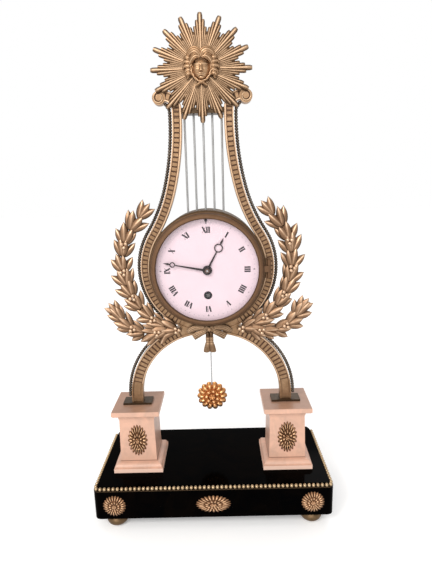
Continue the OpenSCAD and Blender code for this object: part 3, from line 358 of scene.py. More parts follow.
# Bands of another colour at given heights or, where radial, at given distances from the dial's axis, for
# painted shade, painted light and stains.
# A band is its place in mm, half width, strength and colour
def shadeAndStainBands(material, radial, bands):
    tree = material.node_tree
    shader = tree.nodes["Principled BSDF"]
    if radial:
        distance = nodeOf(tree, "VectorMath")
        distance.operation = "LENGTH"
        wire(fromDial(tree, (1, 0, 1)), distance.inputs[0])
        where = distance.outputs["Value"]
    else:
        parts = nodeOf(tree, "SeparateXYZ")
        wire(firstNode(tree, "TexCoord").outputs["Object"], parts.inputs[0])
        where = parts.outputs["Z"]
    for at, half, strength, colour in bands:
        near = mathOf(tree, "COMPARE", at / 1000, half / 1000)
        share = mathOf(tree, "MULTIPLY", strength)
        tint = nodeOf(tree, "Mix")
        tint.data_type = "RGBA"
        tint.inputs[7].default_value = (*colour, 1)
        wire(where, near.inputs[0])
        wire(near.outputs[0], share.inputs[0])
        wire(share.outputs[0], tint.inputs[0])
        wire(shader.inputs["Base Color"].links[0].from_socket, tint.inputs[6])
        wire(tint.outputs[2], shader.inputs["Base Color"])


# Weakens the reflection of a surface
def dullGloss(material, level):
    material.node_tree.nodes["Principled BSDF"].inputs["Specular IOR Level"].default_value = level


# Cast bronze and brass: colours of tarnish, metal and burnish, then roughness
gilt = castMaterial("giltBronze", (0.049, 0.027, 0.013), (0.249, 0.147, 0.078), (0.587, 0.409, 0.258), 0.4,
                    spread=0.8)
sunGilt = castMaterial("sunGilt", (0.017, 0.0086, 0.0034), (0.105, 0.057, 0.028), (0.413, 0.271, 0.163), 0.36,
                       shadingShare=1.2)
maskGilt = castMaterial("maskGilt", (0.055, 0.028, 0.013), (0.34, 0.197, 0.103), (0.76, 0.53, 0.335), 0.38,
                        shadingShare=0.7)
laurelGilt = castMaterial("laurelBronze", (0.043, 0.022, 0.011), (0.271, 0.157, 0.09), (0.722, 0.516, 0.353),
                          0.42, shadingShare=1.1)
bowGilt = castMaterial("bowBronze", (0.035, 0.018, 0.0088), (0.246, 0.145, 0.079), (0.651, 0.458, 0.299), 0.42,
                       shadingShare=1.2)
ringGilt = castMaterial("ringBronze", (0.039, 0.018, 0.007), (0.129, 0.065, 0.03), (0.25, 0.144, 0.074), 0.58,
                        metallic=0.6)
bobGilt = castMaterial("bobGilt", (0.179, 0.07, 0.023), (0.545, 0.249, 0.086), (0.912, 0.564, 0.282), 0.36)
footGilt = castMaterial("footBronze", (0.035, 0.02, 0.0097), (0.123, 0.075, 0.037), (0.299, 0.194, 0.106), 0.4)
plateDark = castMaterial("plateDark", (0.014, 0.0076, 0.0034), (0.051, 0.031, 0.016), (0.17, 0.111, 0.06), 0.4)
pateraGilt = castMaterial("pateraBronze", (0.047, 0.021, 0.011), (0.233, 0.119, 0.058), (0.688, 0.437, 0.26),
                          0.4, shadingShare=1.0)
# Painted shade for the channels' floors between the blocks, their edges, the neck's gaps and the hollow of the
# volutes
grooveShade = castMaterial("grooveShade", (0.038, 0.017, 0.0085), (0.089, 0.04, 0.02), (0.153, 0.076, 0.041), 0.6,
                          metallic=0.5)
# Painted highlight for the light lines along the channels' edges
edgeHighlightGilt = castMaterial("edgeHighlightGilt", (0.267, 0.16, 0.089), (0.534, 0.365, 0.24), (0.801, 0.641, 0.481), 0.4)
pearlBronze = castMaterial("pearlBronze", (0.018, 0.014, 0.011), (0.077, 0.061, 0.048), (0.324, 0.27, 0.216),
                           0.36, spread=0.9)
edgeBrass = castMaterial("edgeBrass", (0.125, 0.078, 0.039), (0.39, 0.281, 0.164), (0.741, 0.624, 0.429), 0.3)
caseBrass = castMaterial("caseBrass", (0.045, 0.026, 0.013), (0.085, 0.05, 0.026), (0.15, 0.094, 0.052), 0.55,
                         metallic=0.3)
moveBrass = castMaterial("moveBrass", (0.465, 0.316, 0.121), (0.67, 0.493, 0.223), (0.8, 0.632, 0.353), 0.25,
                         spread=0.12, metallic=1.0)
dullGloss(caseBrass, 0.1)
turnedRings(caseBrass, 0.0012, 0.25)
turnedRings(ringGilt, 0.0024, 0.4)
# Painted shade on the bezel, as dark lines by radius: in the step behind its round and at the lip at the glass
ringStepShade = (0.023, 0.011, 0.0047)
shadeAndStainBands(ringGilt, True, ((54.6, 0.4, 0.7, ringStepShade), (49.6, 0.4, 0.6, ringStepShade)))

# Steel, paint, enamel and glass: colour, metallic, roughness, stretch, scale and share of the grain, bump
even = (1, 1, 1)
stringSteel = grainMaterial("stringSteel", (0.312, 0.308, 0.304), 0.6, 0.4, (1, 1, 0.2), 500.0, 0.2, 0.1)
steel = grainMaterial("polishedSteel", (0.465, 0.474, 0.493), 1.0, 0.28, (1, 0.15, 1), 900.0, 0.12, 0.1)
darkSteel = grainMaterial("darkSteel", (0.186, 0.177, 0.177), 1.0, 0.3, (1, 0.2, 1), 900.0, 0.2, 0.1)
bluedSteel = grainMaterial("bluedSteel", (0.02, 0.012, 0.013), 0.15, 0.45, even, 700.0, 0.35, 0.05)
colletBronze = grainMaterial("colletBronze", (0.144, 0.086, 0.068), 0.6, 0.4, even, 600.0, 0.25, 0.15)
paint = grainMaterial("dialPaint", (0.01, 0.008, 0.012), 0.0, 0.4, even, 900.0, 0.5, 0.05)
greyPaint = grainMaterial("dialDotPaint", (0.22, 0.19, 0.27), 0.0, 0.4, even, 900.0, 0.3, 0.05)
enamel = grainMaterial("dialEnamel", (0.745, 0.588, 0.64), 0.0, 0.2, even, 60.0, 0.025, 0.03)
glassClear = grainMaterial("glassClear", (0.02, 0.02, 0.025), 0.0, 0.03, even, 40.0, 0.1, 0.01, alpha=0.04)

# Marble: ground, vein, roughness, scale. The pedestals have a dark line at the joint, painted shade on the cap
# tops and painted light on the plinths
blackMarble = marbleMaterial("blackMarble", (0.0002, 0.0002, 0.0003), (0.0015, 0.0008, 0.0005), 0.1, 30.0)
paleMarble = marbleMaterial("paleMarble", (0.6, 0.35, 0.25), (0.46, 0.285, 0.21), 0.36, 42.0)
dullGloss(blackMarble, 0.007)
slabTop = nodeBox("pedestal_left")[0][2]
pedestalShadeAndStains = {"joint": (10.2, 0.5, 0.6, (0.16, 0.075, 0.045)),
                  # Painted shadow on the cap tops, where the clock above shades them
                  "capTopShade": (68, 0.1, 0.54, (0.16, 0.07, 0.03)),
                  # Painted light on the plinths, to lift the shade that the black slab gives them
                  "plinth": (2.2, 2.2, 0.6, (0.95, 0.68, 0.56))}
shadeAndStainBands(paleMarble, False, [(slabTop + z, *band) for z, *band in pedestalShadeAndStains.values()])
print("materials made")

# Nodes of the CAD part and their materials
kept = [
    (("base_slab",), blackMarble),
    (("pedestal_left", "pedestal_right"), paleMarble),
    (("base_beading",), edgeBrass),
    (("bun_feet",), footGilt),
    (("leg_left", "leg_right", "arm_left", "arm_right"), gilt),
    (("crossbar",), plateDark),
    (("leg_pearls_left", "leg_pearls_right", "arm_pearls_left", "arm_pearls_right"), pearlBronze),
    (("bezel",), ringGilt),
    (("drum_case", "rear_cover", "bezel_hinge_pin"), caseBrass),
    (("strings",), stringSteel),
    (("dial",), enamel),
    (("glass",), glassClear),
    (("hour_hand", "minute_hand"), bluedSteel),
    (("front_plate", "back_plate", "plate_pillars", "barrel", "barrel_cover", "intermediate_wheel",
      "centre_wheel", "third_wheel", "escape_wheel", "back_cock", "motion_wheel", "hour_wheel"), moveBrass),
    (("hand_collet",), colletBronze),
    (("winding_arbor",), darkSteel),
    (("mainspring", "ratchet_wheel", "click", "intermediate_arbor", "centre_arbor", "third_arbor",
      "escape_arbor", "pallet_anchor", "pallet_arbor", "suspension_spring", "pendulum_rod",
      "cannon_pinion"), steel),
]
for names, material in kept:
    for name in names:
        nodes[name].data.materials.clear()
        nodes[name].data.materials.append(material)


# A second material on the faces of a node whose centres lie between two places along an axis
def paintFaces(name, material, axis, low=-np.inf, high=np.inf):
    mesh = nodes[name].data
    mesh.materials.append(material)
    centres = np.empty(len(mesh.polygons) * 3, np.float32)
    mesh.polygons.foreach_get("center", centres)
    along = centres[axis::3] * 1000
    mesh.polygons.foreach_set("material_index", ((along > low) & (along < high)).astype(np.int32))


plateT, stripT, drumR = 3.1, 0.82, 57.1  # just over the foot plates, the edging's strip and the drum's wall
for name in ("leg_left", "leg_right"):
    paintFaces(name, plateDark, 2, high=nodeBox(name)[0][2] + plateT)
paintFaces("base_beading", plateDark, 2, high=nodeBox("base_beading")[0][2] + stripT)
paintFaces("drum_case", ringGilt, 0, low=dialMid[0] + drumR)  # the hinge knuckles are gilt like the bezel
print("CAD nodes finished")

# Sunburst: every ray is a roof-shaped bar with a chisel point; a group is one long ray between shorter ones.
# Lengths, places, half widths, heights and painted ridge highlight go from the long ray outwards
sun = {"groups": 16, "root": 8.0, "edge": 0.7, "uneven": 0.03, "sink": 0.3, "sinkStep": 0.003,
       "lengths": (1.0, 0.885, 0.77, 0.63), "shares": (0.0, 0.18, 0.345, 0.5), "widths": (2.35, 1.75, 1.6, 1.6),
       "heights": (3.0, 2.0, 1.55, 1.2), "ridgeHighlight": (1.0, 0.6, 0.45, 0.3),
       "along": (0, 0.3, 0.6, 0.88, 0.95, 1.0), "taper": (0.5, 0.75, 0.95, 1, 0.97, 0.7),
       "crest": (1, 1, 1, 0.97, 0.85, 0.5), "fade": (0.9, 1, 1, 1, 0.9, 0.8), "flat": 0.22,
       "discR": 31.0, "discT": 0.3, "discIn": 0.35}
sunR = (sunHigh[2] - sunLow[2]) / 2
sunBack = sunHigh[1]


# Ray: the section is a roof with a narrow flat ridge, carried along a line and tapered by the tables above
def ray(angle, length, half, height, ridgeHighlight, sink):
    r = (sun["root"] + np.array(sun["along"]) * (length - sun["root"]))[:, None]
    w = half * np.array(sun["taper"])
    ridge = sun["edge"] + (height - sun["edge"]) * np.array(sun["crest"])
    foot, edge = np.full(6, sink), np.full(6, sun["edge"])
    offset = np.stack([-w, -w, -sun["flat"] * w, sun["flat"] * w, w, w], 1)
    rise = np.stack([foot, edge, ridge, ridge, edge, foot], 1)
    c, q = math.cos(angle), math.sin(angle)
    grid = np.stack([sunMid[0] + r * c - offset * q, sunBack - rise, sunMid[2] + r * q + offset * c], -1)
    # Painted highlight along the ridge, painted shade on the flanks and at the foot where the rays meet
    shade = np.array([-0.15, -0.5, ridgeHighlight, ridgeHighlight, -0.5, -0.15]) * np.array(sun["fade"])[:, None]
    return sheet(capped(grid), paintedShading=np.concatenate([shade[:1], shade, shade[-1:]]))


rays = []
for g in range(sun["groups"]):
    for k in range(4):
        for side in (-1, 1) if k in (1, 2) else (1,):
            a = math.pi / 2 + (g + side * sun["shares"][k]) * 2 * math.pi / sun["groups"]
            length = sunR * sun["lengths"][k] * (1 - (sun["uneven"] * rng.random() if k else 0))
            sink = sun["sink"] + sun["sinkStep"] * len(rays)  # no two rays share a back plane
            rays.append(ray(a, length, sun["widths"][k], sun["heights"][k], sun["ridgeHighlight"][k], sink))
# A thin disc closes the back
rays.append(ball((sunMid[0], sunBack - sun["discIn"], sunMid[2]), (sun["discR"], sun["discT"], sun["discR"]),
                 count=96, paintedShading=-0.1))
makePiece("sunRays", rays, sunGilt, ["sunburst"], smooth=False)

# Mask: an egg-shaped relief with soft bumps for the features, locks of hair swept from a parting, a scarf knot.
# A feature is its height, then place and spread in x and z, mirrored; hair and scarf are (across, forward, up)
mask = {
    "faceX": 7.3, "faceZ": 8.8, "dome": 7.4, "drop": -0.6, "grow": 1.12,
    "features": (
        (-1.25, 2.75, 1.25, 1.25, 0.85), (0.8, 2.8, 1.1, 0.85, 0.5),  # eye hollows and eyes
        (0.28, 2.8, 1.75, 1.2, 0.16), (-0.2, 2.8, 1.15, 0.75, 0.12), (0.5, 2.8, 2.75, 1.6, 0.45),  # lids, brows
        (0.7, 0.95, -2.45, 0.42, 0.4),  # nostrils
        (0.6, 0, -4.45, 1.5, 0.34), (0.7, 0, -5.4, 1.2, 0.36), (-0.55, 0, -4.92, 1.6, 0.16),  # lips
        (-0.45, 0, -6.2, 1.3, 0.4), (0.7, 0, -7.2, 1.4, 0.7), (0.45, 3.7, -1.6, 1.5, 1.7)),  # chin, cheeks
    # Locks: points, strand width, depth, count of strands, spread
    "locks": (
        (((0.5, 6.0, 8.2), (1.8, 7.4, 11.0), (5.0, 7.6, 12.8), (9.0, 6.2, 11.8), (11.8, 3.6, 8.8)),
         1.15, 1.6, 4, 2.5),
        (((0.8, 6.2, 7.8), (3.6, 7.2, 8.6), (6.8, 6.6, 7.2), (9.2, 4.8, 4.2), (10.2, 3.0, 1.0)),
         0.9, 1.2, 3, 1.4)),
    # Side locks: height at the face and at the tip, reach
    "sideLocks": ((6.6, 7.6, 14.4), (3.4, 4.0, 15.6), (0.2, 0.0, 15.8), (-3.0, -4.2, 14.6), (-5.8, -7.8, 12.4)),
    "band": ((6.8, 2.8, 6.8), (8.8, 3.0, 2.2), (8.7, 3.0, -2.6), (6.8, 3.2, -7.0), (3.6, 3.4, -10.2),
             (0.4, 3.8, -11.6)),
    "tail": ((0.3, 3.0, -11.6), (2.4, 2.8, -12.8), (5.0, 1.8, -14.2)),
    "skull": ((0, -1.4, -0.6), (9.6, 2.6, 10.6)), "knot": ((0, -3.2, -11.7), (1.8, 1.9, 1.6)),  # middle, radii
}
maskAt = np.array([middle("sun_mask")[0], nodeBox("sun_mask")[1][1], sunMid[2]])


# Face: a dome over an egg, on a polar grid, plus a bell for each feature and a ridge that widens for the nose
def faceSheet():
    rho = np.linspace(0, 1, 70)[:, None] ** 0.9
    th = circle(128)
    x = mask["faceX"] * rho * np.cos(th) * (1 - 0.1 * np.clip(-np.sin(th), 0, 1) ** 2 * rho)
    z = (mask["faceZ"] - 0.6 * np.sin(th)) * rho * np.sin(th)
    h = mask["dome"] * (1 - rho**2.6) ** 0.62
    for height, *bell in mask["features"]:
        h = h + height * gauss(np.abs(x), z, *bell)
    nose = 0.35 + 1.75 * ease(-z, -2.6, 2.5)
    h = h + nose * np.exp(-((x / 0.72) ** 2) / 2) * ease(z, -3.25, -2.5) * (1 - ease(z, 1.8, 3.6))
    front = np.stack([x * mask["grow"], -h, z * mask["grow"] + mask["drop"]], -1)
    back = front[::-1].copy()
    back[..., 1] = 0.0
    # Painted shade in the hollows and painted highlight on the bumps, from the curvature; the back is painted
    # dark
    bend = sum(np.gradient(np.gradient(h, axis=k), axis=k) * 30 for k in (0, 1))
    shade = np.clip(-bend * 0.5, -0.8, 0.8)
    return sheet(np.concatenate([front, back]), paintedShading=np.concatenate([shade, np.full_like(shade, -0.5)]))


# Lock of hair: strands side by side along one path, which swell in the middle and taper to the ends
def lockStrands(points, width, depth, count, spread):
    path = curve(points, 26)
    across = pathFrame(path)[1]
    s = np.linspace(0, 1, len(path))
    swell = 0.25 + 0.75 * np.sin(np.pi * (0.12 + 0.86 * s)) ** 0.7
    strands = []
    for i in range(count):
        o = (i - (count - 1) / 2) / max(count - 1, 1) * 2
        move = across * (o * spread * swell)[:, None]
        move[:, 1] += 0.35 * o * o * depth
        r = width * swell
        # Painted shade on the outer strands of a lock; every second strand is a little lighter
        shade = 0.35 - 0.7 * abs(o) + 0.25 * (i % 2)
        strands.append(tube(path + move, r, r * 1.15, count=9, paintedShading=shade))
    return strands


maskSheets = [faceSheet(), ball(*mask["skull"], rows=13, count=40, paintedShading=-0.1)]
for s in (-1, 1):
    for points, *lock in mask["locks"]:
        maskSheets += lockStrands(toSide(points, s), *lock)
    for z, tip, reach in mask["sideLocks"]:
        points = ((8.6, 2.6, z), (10.6, 4.6, z + 1.0), (12.6, 4.2, (z + tip) / 2 + 1.2),
                  (reach - 0.5, 2.6, tip + 0.8), (reach, 1.4, tip - 1.0))
        maskSheets += lockStrands(toSide(points, s), 0.75, 1.0, 3, 1.05)
    band, tail = curve(toSide(mask["band"], s), 40), curve(toSide(mask["tail"], s), 14)
    maskSheets.append(tube(band, 1.1, 1.4, count=14, paintedShading=0.3, flutes=3, fluteDepth=0.3, twist=5.0))
    maskSheets.append(tube(tail, np.linspace(1.0, 1.6, 14), np.linspace(1.2, 0.8, 14), count=14, paintedShading=0.1,
                           flutes=4, fluteDepth=0.3))
maskSheets.append(ball(*mask["knot"], rows=11, count=18, paintedShading=0.3))
for one in maskSheets:
    placed(one, 1, maskAt)
    one["points"][..., 1] = np.minimum(one["points"][..., 1], maskAt[1])
makePiece("sunMask", maskSheets, maskGilt, ["sun_mask"])

# Lyre: painted shade, as dark strips, lies on the channel's floor between the blocks; dark lines of painted
# shade and light lines of painted highlight run along its edges
lyre = {
    "middle": 13.6, "floor": -3.3, "front": -4.5,  # the bar's middle behind the dial's face, depths from there
    "thick": 0.05, "line": 0.24, "edgeHighlight": 0.42, "edgeHighlightOut": 1.12,  # lines: thickness, half widths, way outwards
    # Channels: centre x and z, inner and outer radius, first and last angle
    "channels": ((0, 0, 59.3, 64.4, -62, 33), (177.463, 115.246, 147.2, 152.3, 195, 213),
                 (274.055, 141.127, 247.2, 252.3, 180, 195), (35.055, 149.327, 8.2, 13.3, 95, 180),
                 (5, -134.6, 69.2, 77.3, 12, 70)),
    "footLines": ((5, -134.6, 69.12, 69.7, 0, 12), (5, -134.6, 76.8, 77.38, 0, 12)),
    "neckX": 24.3, "neckZ": 145.2, "neckHalf": 4.2, "gaps": (142.6, 146.8), "gapX": 2.55, "gapZ": 0.65,
}
legBlocks = {"x": 5, "z": -134.6, "inner": 69.4, "outer": 77.1, "half": 1.47, "count": 6,
             "first": 32.2, "step": 3.6, "tall": 0.95, "fall": 0.12}
volute = {"x": 39.75, "z": 158.7, "r": 5.3, "ridge": 0.9, "start": 100, "sweep": 640, "shrink": 0.8,
          "steps": 90, "hollowIn": 1.2, "hollowSteps": 44}
lyreY = dialFront + lyre["middle"]


# Strip: a flat band between two radii about a centre
def arcStrip(x, z, inner, outer, start, stop, level=lyre["floor"]):
    turn = np.radians(np.linspace(start, stop, 48))[:, None]
    r = np.array([inner, outer, outer, inner])[None, :]
    y = lyreY + level - np.array([0, 0, lyre["thick"], lyre["thick"]])[None, :]
    return sheet(capped(np.stack([x + r * np.cos(turn), y + 0 * turn, z + r * np.sin(turn)], -1)))


# Neck: the channel's dark gaps and edge lines run on up to the rays, as thin bars on its face; the dark ones
# are painted shade, the light ones painted highlight
def faceBar(x, z, halfX, halfZ):
    x, z = x + halfX * np.array([-1, 1, 1, -1]), z + halfZ * np.array([-1, -1, 1, 1])
    return plaque(x, z, lyreY + lyre["front"] + 0.02, lyre["thick"])


# Lines along both edges of the channels and of the neck, moved out by a distance
def edgeLines(half, out):
    lines = [arcStrip(x, z, r - half, r + half, start, stop, lyre["front"])
             for x, z, inner, outer, start, stop in lyre["channels"] for r in (inner - out, outer + out)]
    return lines + [faceBar(lyre["neckX"] + k * (lyre["gapX"] + out), lyre["neckZ"], half, lyre["neckHalf"])
                    for k in (-1, 1)]


# Lower leg: the row of blocks runs on down the channel, each a little lower than the one above
def legBlock(k):
    a = math.radians(legBlocks["first"] - k * legBlocks["step"])
    r = np.array([legBlocks["inner"], legBlocks["outer"], legBlocks["outer"], legBlocks["inner"]])
    w = legBlocks["half"] * np.array([-1, -1, 1, 1])
    x = legBlocks["x"] + r * math.cos(a) - w * math.sin(a)
    z = legBlocks["z"] + r * math.sin(a) + w * math.cos(a)
    return plaque(x, z, lyreY + lyre["floor"], legBlocks["tall"] - legBlocks["fall"] * k, 0.1)


# Volute: a spiral whose radius shrinks evenly with the angle, moved in by a distance
def spiral(depth, inward):
    t = np.linspace(0, 1, volute["steps"])
    turn = np.radians(volute["start"] - volute["sweep"] * t)
    r = volute["r"] * (1 - volute["shrink"] * t) - inward
    y = np.full(volute["steps"], lyreY + lyre["front"] + depth)
    return np.stack([volute["x"] + r * np.cos(turn), y, volute["z"] + r * np.sin(turn)], -1), t


strips, edgeHighlights, scrolls, lowBlocks = [], [], [], []
for s in (-1, 1):
    path, t = spiral(-0.1, 0)
    hollowShade = spiral(-0.05, volute["hollowIn"])[0][:volute["hollowSteps"]]
    wide = volute["ridge"]
    # The spiral ridge is painted lighter, as a highlight
    ridge = tube(path, wide * (1 - 0.35 * t), wide * (1 - 0.2 * t), count=10, paintedShading=0.6)
    # Painted shade: dark strips on the channel floors, dark lines along the edges, dark bars for the neck's
    # gaps and a dark line inside the volute's ridge
    dark = [arcStrip(*arc) for arc in lyre["channels"] + lyre["footLines"]] + edgeLines(lyre["line"], 0)
    dark += [faceBar(lyre["neckX"], z, lyre["gapX"], lyre["gapZ"]) for z in lyre["gaps"]]
    dark.append(tube(hollowShade, 0.42, 0.12, count=8))
    # Light lines of painted highlight just outside the channels' edges
    edgeHighlight = edgeLines(lyre["edgeHighlight"], lyre["edgeHighlightOut"])
    blocks = [legBlock(k) for k in range(legBlocks["count"])]
    for group, new in ((strips, dark), (edgeHighlights, edgeHighlight), (scrolls, [ridge]), (lowBlocks, blocks)):
        group += [placed(one, s, dialAxis) for one in new]
makePiece("channelShadeStrips", strips, grooveShade, smooth=False)
makePiece("edgeHighlights", edgeHighlights, edgeHighlightGilt, smooth=False)
makePiece("voluteScrolls", scrolls, gilt)
makePiece("lowerLegBlocks", lowBlocks, gilt, smooth=False)

# Pearls: the CAD strand swollen along its normals, and a few more pearls that lead up to the volute
pearls = {"swell": 0.3, "radius": 1.7, "half": 1.4, "lead": ((0.4, 2.6), (1.8, 4.8), (3.3, 7.0))}
leadPearls = []
for name in ("arm_pearls_left", "arm_pearls_right", "leg_pearls_left", "leg_pearls_right"):
    part, sideName = name.split("_pearls_")
    mesh = bpy.data.meshes.new(part + "Pearls" + sideName.capitalize())
    work = bmesh.new()
    work.from_mesh(nodes[name].data)
    bmesh.ops.remove_doubles(work, verts=work.verts, dist=2e-6)
    work.to_mesh(mesh)
    work.free()
    co, outward = (np.empty(len(mesh.vertices) * 3, np.float32) for k in range(2))
    mesh.vertices.foreach_get("co", co)
    mesh.vertex_normals.foreach_get("vector", outward)
    mesh.vertices.foreach_set("co", co + outward * pearls["swell"] / 1000)
    addPiece(mesh, pearlBronze, [name])
    if part == "arm":
        spots = co.reshape(-1, 3) * 1000
        top = spots[:, 2].max()
        x, y = spots[spots[:, 2] > top - 0.5][:, :2].mean(0)  # the middle of the highest pearl
        s = -1 if sideName == "left" else 1
        leadPearls += [ball((x + s * a, y, top - pearls["half"] + b), pearls["radius"], paintedShading=0.1)
                       for a, b in pearls["lead"]]
makePiece("leadPearls", leadPearls, pearlBronze)

# Laurel: lens-shaped leaves with a rib and an arched back, on a round stem, with clusters of berries.
# A fan leaf is its angle to the stem, rise, roll and share of the length; a tip leaf its angle and rise
laurel = {"leafL": 20.5, "leafW": 4.3, "thick": 0.6, "stemR": 1.0, "lift": 1.7, "turnA": -66.0, "turnB": 38.0,
          "berryR": 2.0, "berryRing": 2.3, "berryLift": 3.2, "lowShare": 0.95, "lowLift": 0.8,
          "fan": ((-36, 0.2, -0.35, 0.9), (34, 0.2, 0.35, 0.9), (-13, 1.1, -0.2, 1.0), (15, 1.9, 0.2, 0.9)),
          "tip": ((-24, 0.6), (0, 1.8), (22, 0.4)), "lowStem": ((38.5, -60.0), (78.0, -76.0), (95.0, -36.0)),
          "crown": 0.1925, "droop": 0.252, "rib": 0.13,
          "stem": {"r": 84, "at": 18, "spanBelow": 86, "spanAbove": 24, "drawBelow": 16, "drawAbove": 2.5}}
laurelBack = nodeBox("laurel_right")[1][1]


# High stem: a circle about the dial that draws in below and above its widest place
def stemPoint(a):
    stem = laurel["stem"]
    below = np.clip(stem["at"] - a, 0, None) / stem["spanBelow"]
    above = np.clip(a - stem["at"], 0, None) / stem["spanAbove"]
    r = stem["r"] - stem["drawBelow"] * below**1.6 - stem["drawAbove"] * above**2
    return np.stack([r * np.cos(np.radians(a)), r * np.sin(np.radians(a))], -1)


# Low stem: a parabola between three points
def lowPoint(t):
    a, b, c = np.array(laurel["lowStem"])
    t = t[:, None]
    return (1 - t) ** 2 * a + 2 * t * (1 - t) * b + t**2 * c


# Leaf: s runs along it and p round its lens section; half width w sin(pi s^0.82)^0.62, arched back by bend s^2
def leaf(base, angle, length, width, roll, rise, bend):
    s = np.linspace(0, 1, 17)[:, None]
    p = circle(20)
    share = np.cos(p)
    away = np.abs(share)
    w = width * np.sin(np.pi * (0.02 + 0.98 * s) ** 0.82) ** 0.62 * (1 - s**10)
    up = laurel["thick"] * np.sin(p) * np.sqrt(np.clip(np.sin(np.pi * s), 0, 1))
    up = up + w * (laurel["crown"] * (1 - away) ** 1.6 - laurel["droop"] * away**2)
    out = up + rise * s - bend * s**2
    side, x = w * share, length * s + 0 * p
    cr, sr = math.cos(roll), math.sin(roll)
    side, out = side * cr - out * sr * 0.25, out * cr + side * sr
    ca, sa = math.cos(angle), math.sin(angle)
    grid = np.stack([base[0] + x * ca - side * sa, -(base[2] + out), base[1] + x * sa + side * ca], -1)
    rib = np.exp(-((share / laurel["rib"]) ** 2)) * (np.sin(p) > 0)
    # Painted shade at the leaf's edges and base, painted highlight along its rib
    shade = 0.12 - 0.95 * away**4 + 0.5 * rib - 0.8 * (1 - s) ** 2 + 0.1 * np.sin(9 * s)
    return sheet(grid, paintedShading=shade)


# Spray: a fan of leaves at each station of the stem, berries at every second one, a tuft at the tip
def spraySheets(points, stations, length, lift, odd):
    berries = []
    stem = curve([(x, -lift, z) for x, z in points], 60)
    flat = stem[:, [0, 2]]
    # The stem is painted darker, as shade under the leaves
    sheets = [tube(stem, laurel["stemR"], laurel["stemR"], count=10, paintedShading=-0.4)]
    heading = np.arctan2(*np.gradient(flat, axis=0)[:, ::-1].T)
    for n, at in enumerate(stations):
        k = int(round(at * (len(flat) - 1)))
        a, p = heading[k], flat[k]
        for j, (off, rise, roll, share) in enumerate(laurel["fan"]):
            turn = a + math.radians(off + rng.uniform(-7, 7))
            size = length * rng.uniform(0.9, 1.08) * share
            start = (p[0] + 0.8 * math.cos(turn), p[1] + 0.8 * math.sin(turn), lift + 0.35 * j)
            wide = laurel["leafW"] * rng.uniform(0.88, 1.06)
            roll = roll + rng.uniform(-0.12, 0.12)
            sheets.append(leaf(start, turn, size, wide, roll, rise, rng.uniform(0.8, 2.0)))
        for q in range(3 if n % 2 == odd else 0):
            b = a + math.radians(40 + 120 * q)
            x, z = p + laurel["berryRing"] * np.array([math.cos(b), math.sin(b)])
            spot = (x, -(lift + laurel["berryLift"] + 0.2 * q), z)
            # The berries are painted lighter, as a highlight
            berries.append(ball(spot, laurel["berryR"], paintedShading=0.55))
    for off, rise in laurel["tip"]:
        turn = heading[-1] + math.radians(off)
        sheets.append(leaf((*flat[-1], lift), turn, length * 0.92, laurel["leafW"] * 0.9, 0.1, rise, 1.2))
    return sheets + berries


for sideName, s in (("left", -1), ("right", 1)):
    highStem = stemPoint(np.linspace(laurel["turnA"], laurel["turnB"], 14))
    lowStem = lowPoint(np.linspace(0, 0.86, 8))
    spray = spraySheets(highStem, np.linspace(0.03, 0.9, 10), laurel["leafL"], laurel["lift"], 0)
    spray += spraySheets(lowStem, np.linspace(0.05, 0.9, 5), laurel["leafL"] * laurel["lowShare"],
                         laurel["lift"] * laurel["lowLift"], 1)
    spray = [placed(one, s, dialAxis + (0, laurelBack, 0)) for one in spray]
    makePiece("laurel" + sideName.capitalize(), spray, laurelGilt, ["laurel_" + sideName])

# Flowers in relief: an outline with scallops, a ring of long ribbed petals, a raised inner ring, a beaded heart
flowers = {
    "rosettes": {"rx": 11.5, "rz": 11.5, "petals": 22, "relief": 3.4, "scallop": 0.15, "cut": 0.5},
    "slabPatera": {"rx": 17.5, "rz": 9.5, "petals": 24, "relief": 3.4, "scallop": 0.2, "cut": 0.5},
    "pedestalPatera": {"rx": 10.2, "rz": 17.4, "petals": 20, "relief": 3.5, "scallop": 0.26, "cut": 0.5},
    "bob": {"rx": 17.0, "rz": 17.0, "petals": 14, "relief": 7.0, "scallop": 0.14, "cut": 0.36,
            "lift": 0.4, "backIn": 2.2, "back": (13.0, 2.1, 13.0)},
}


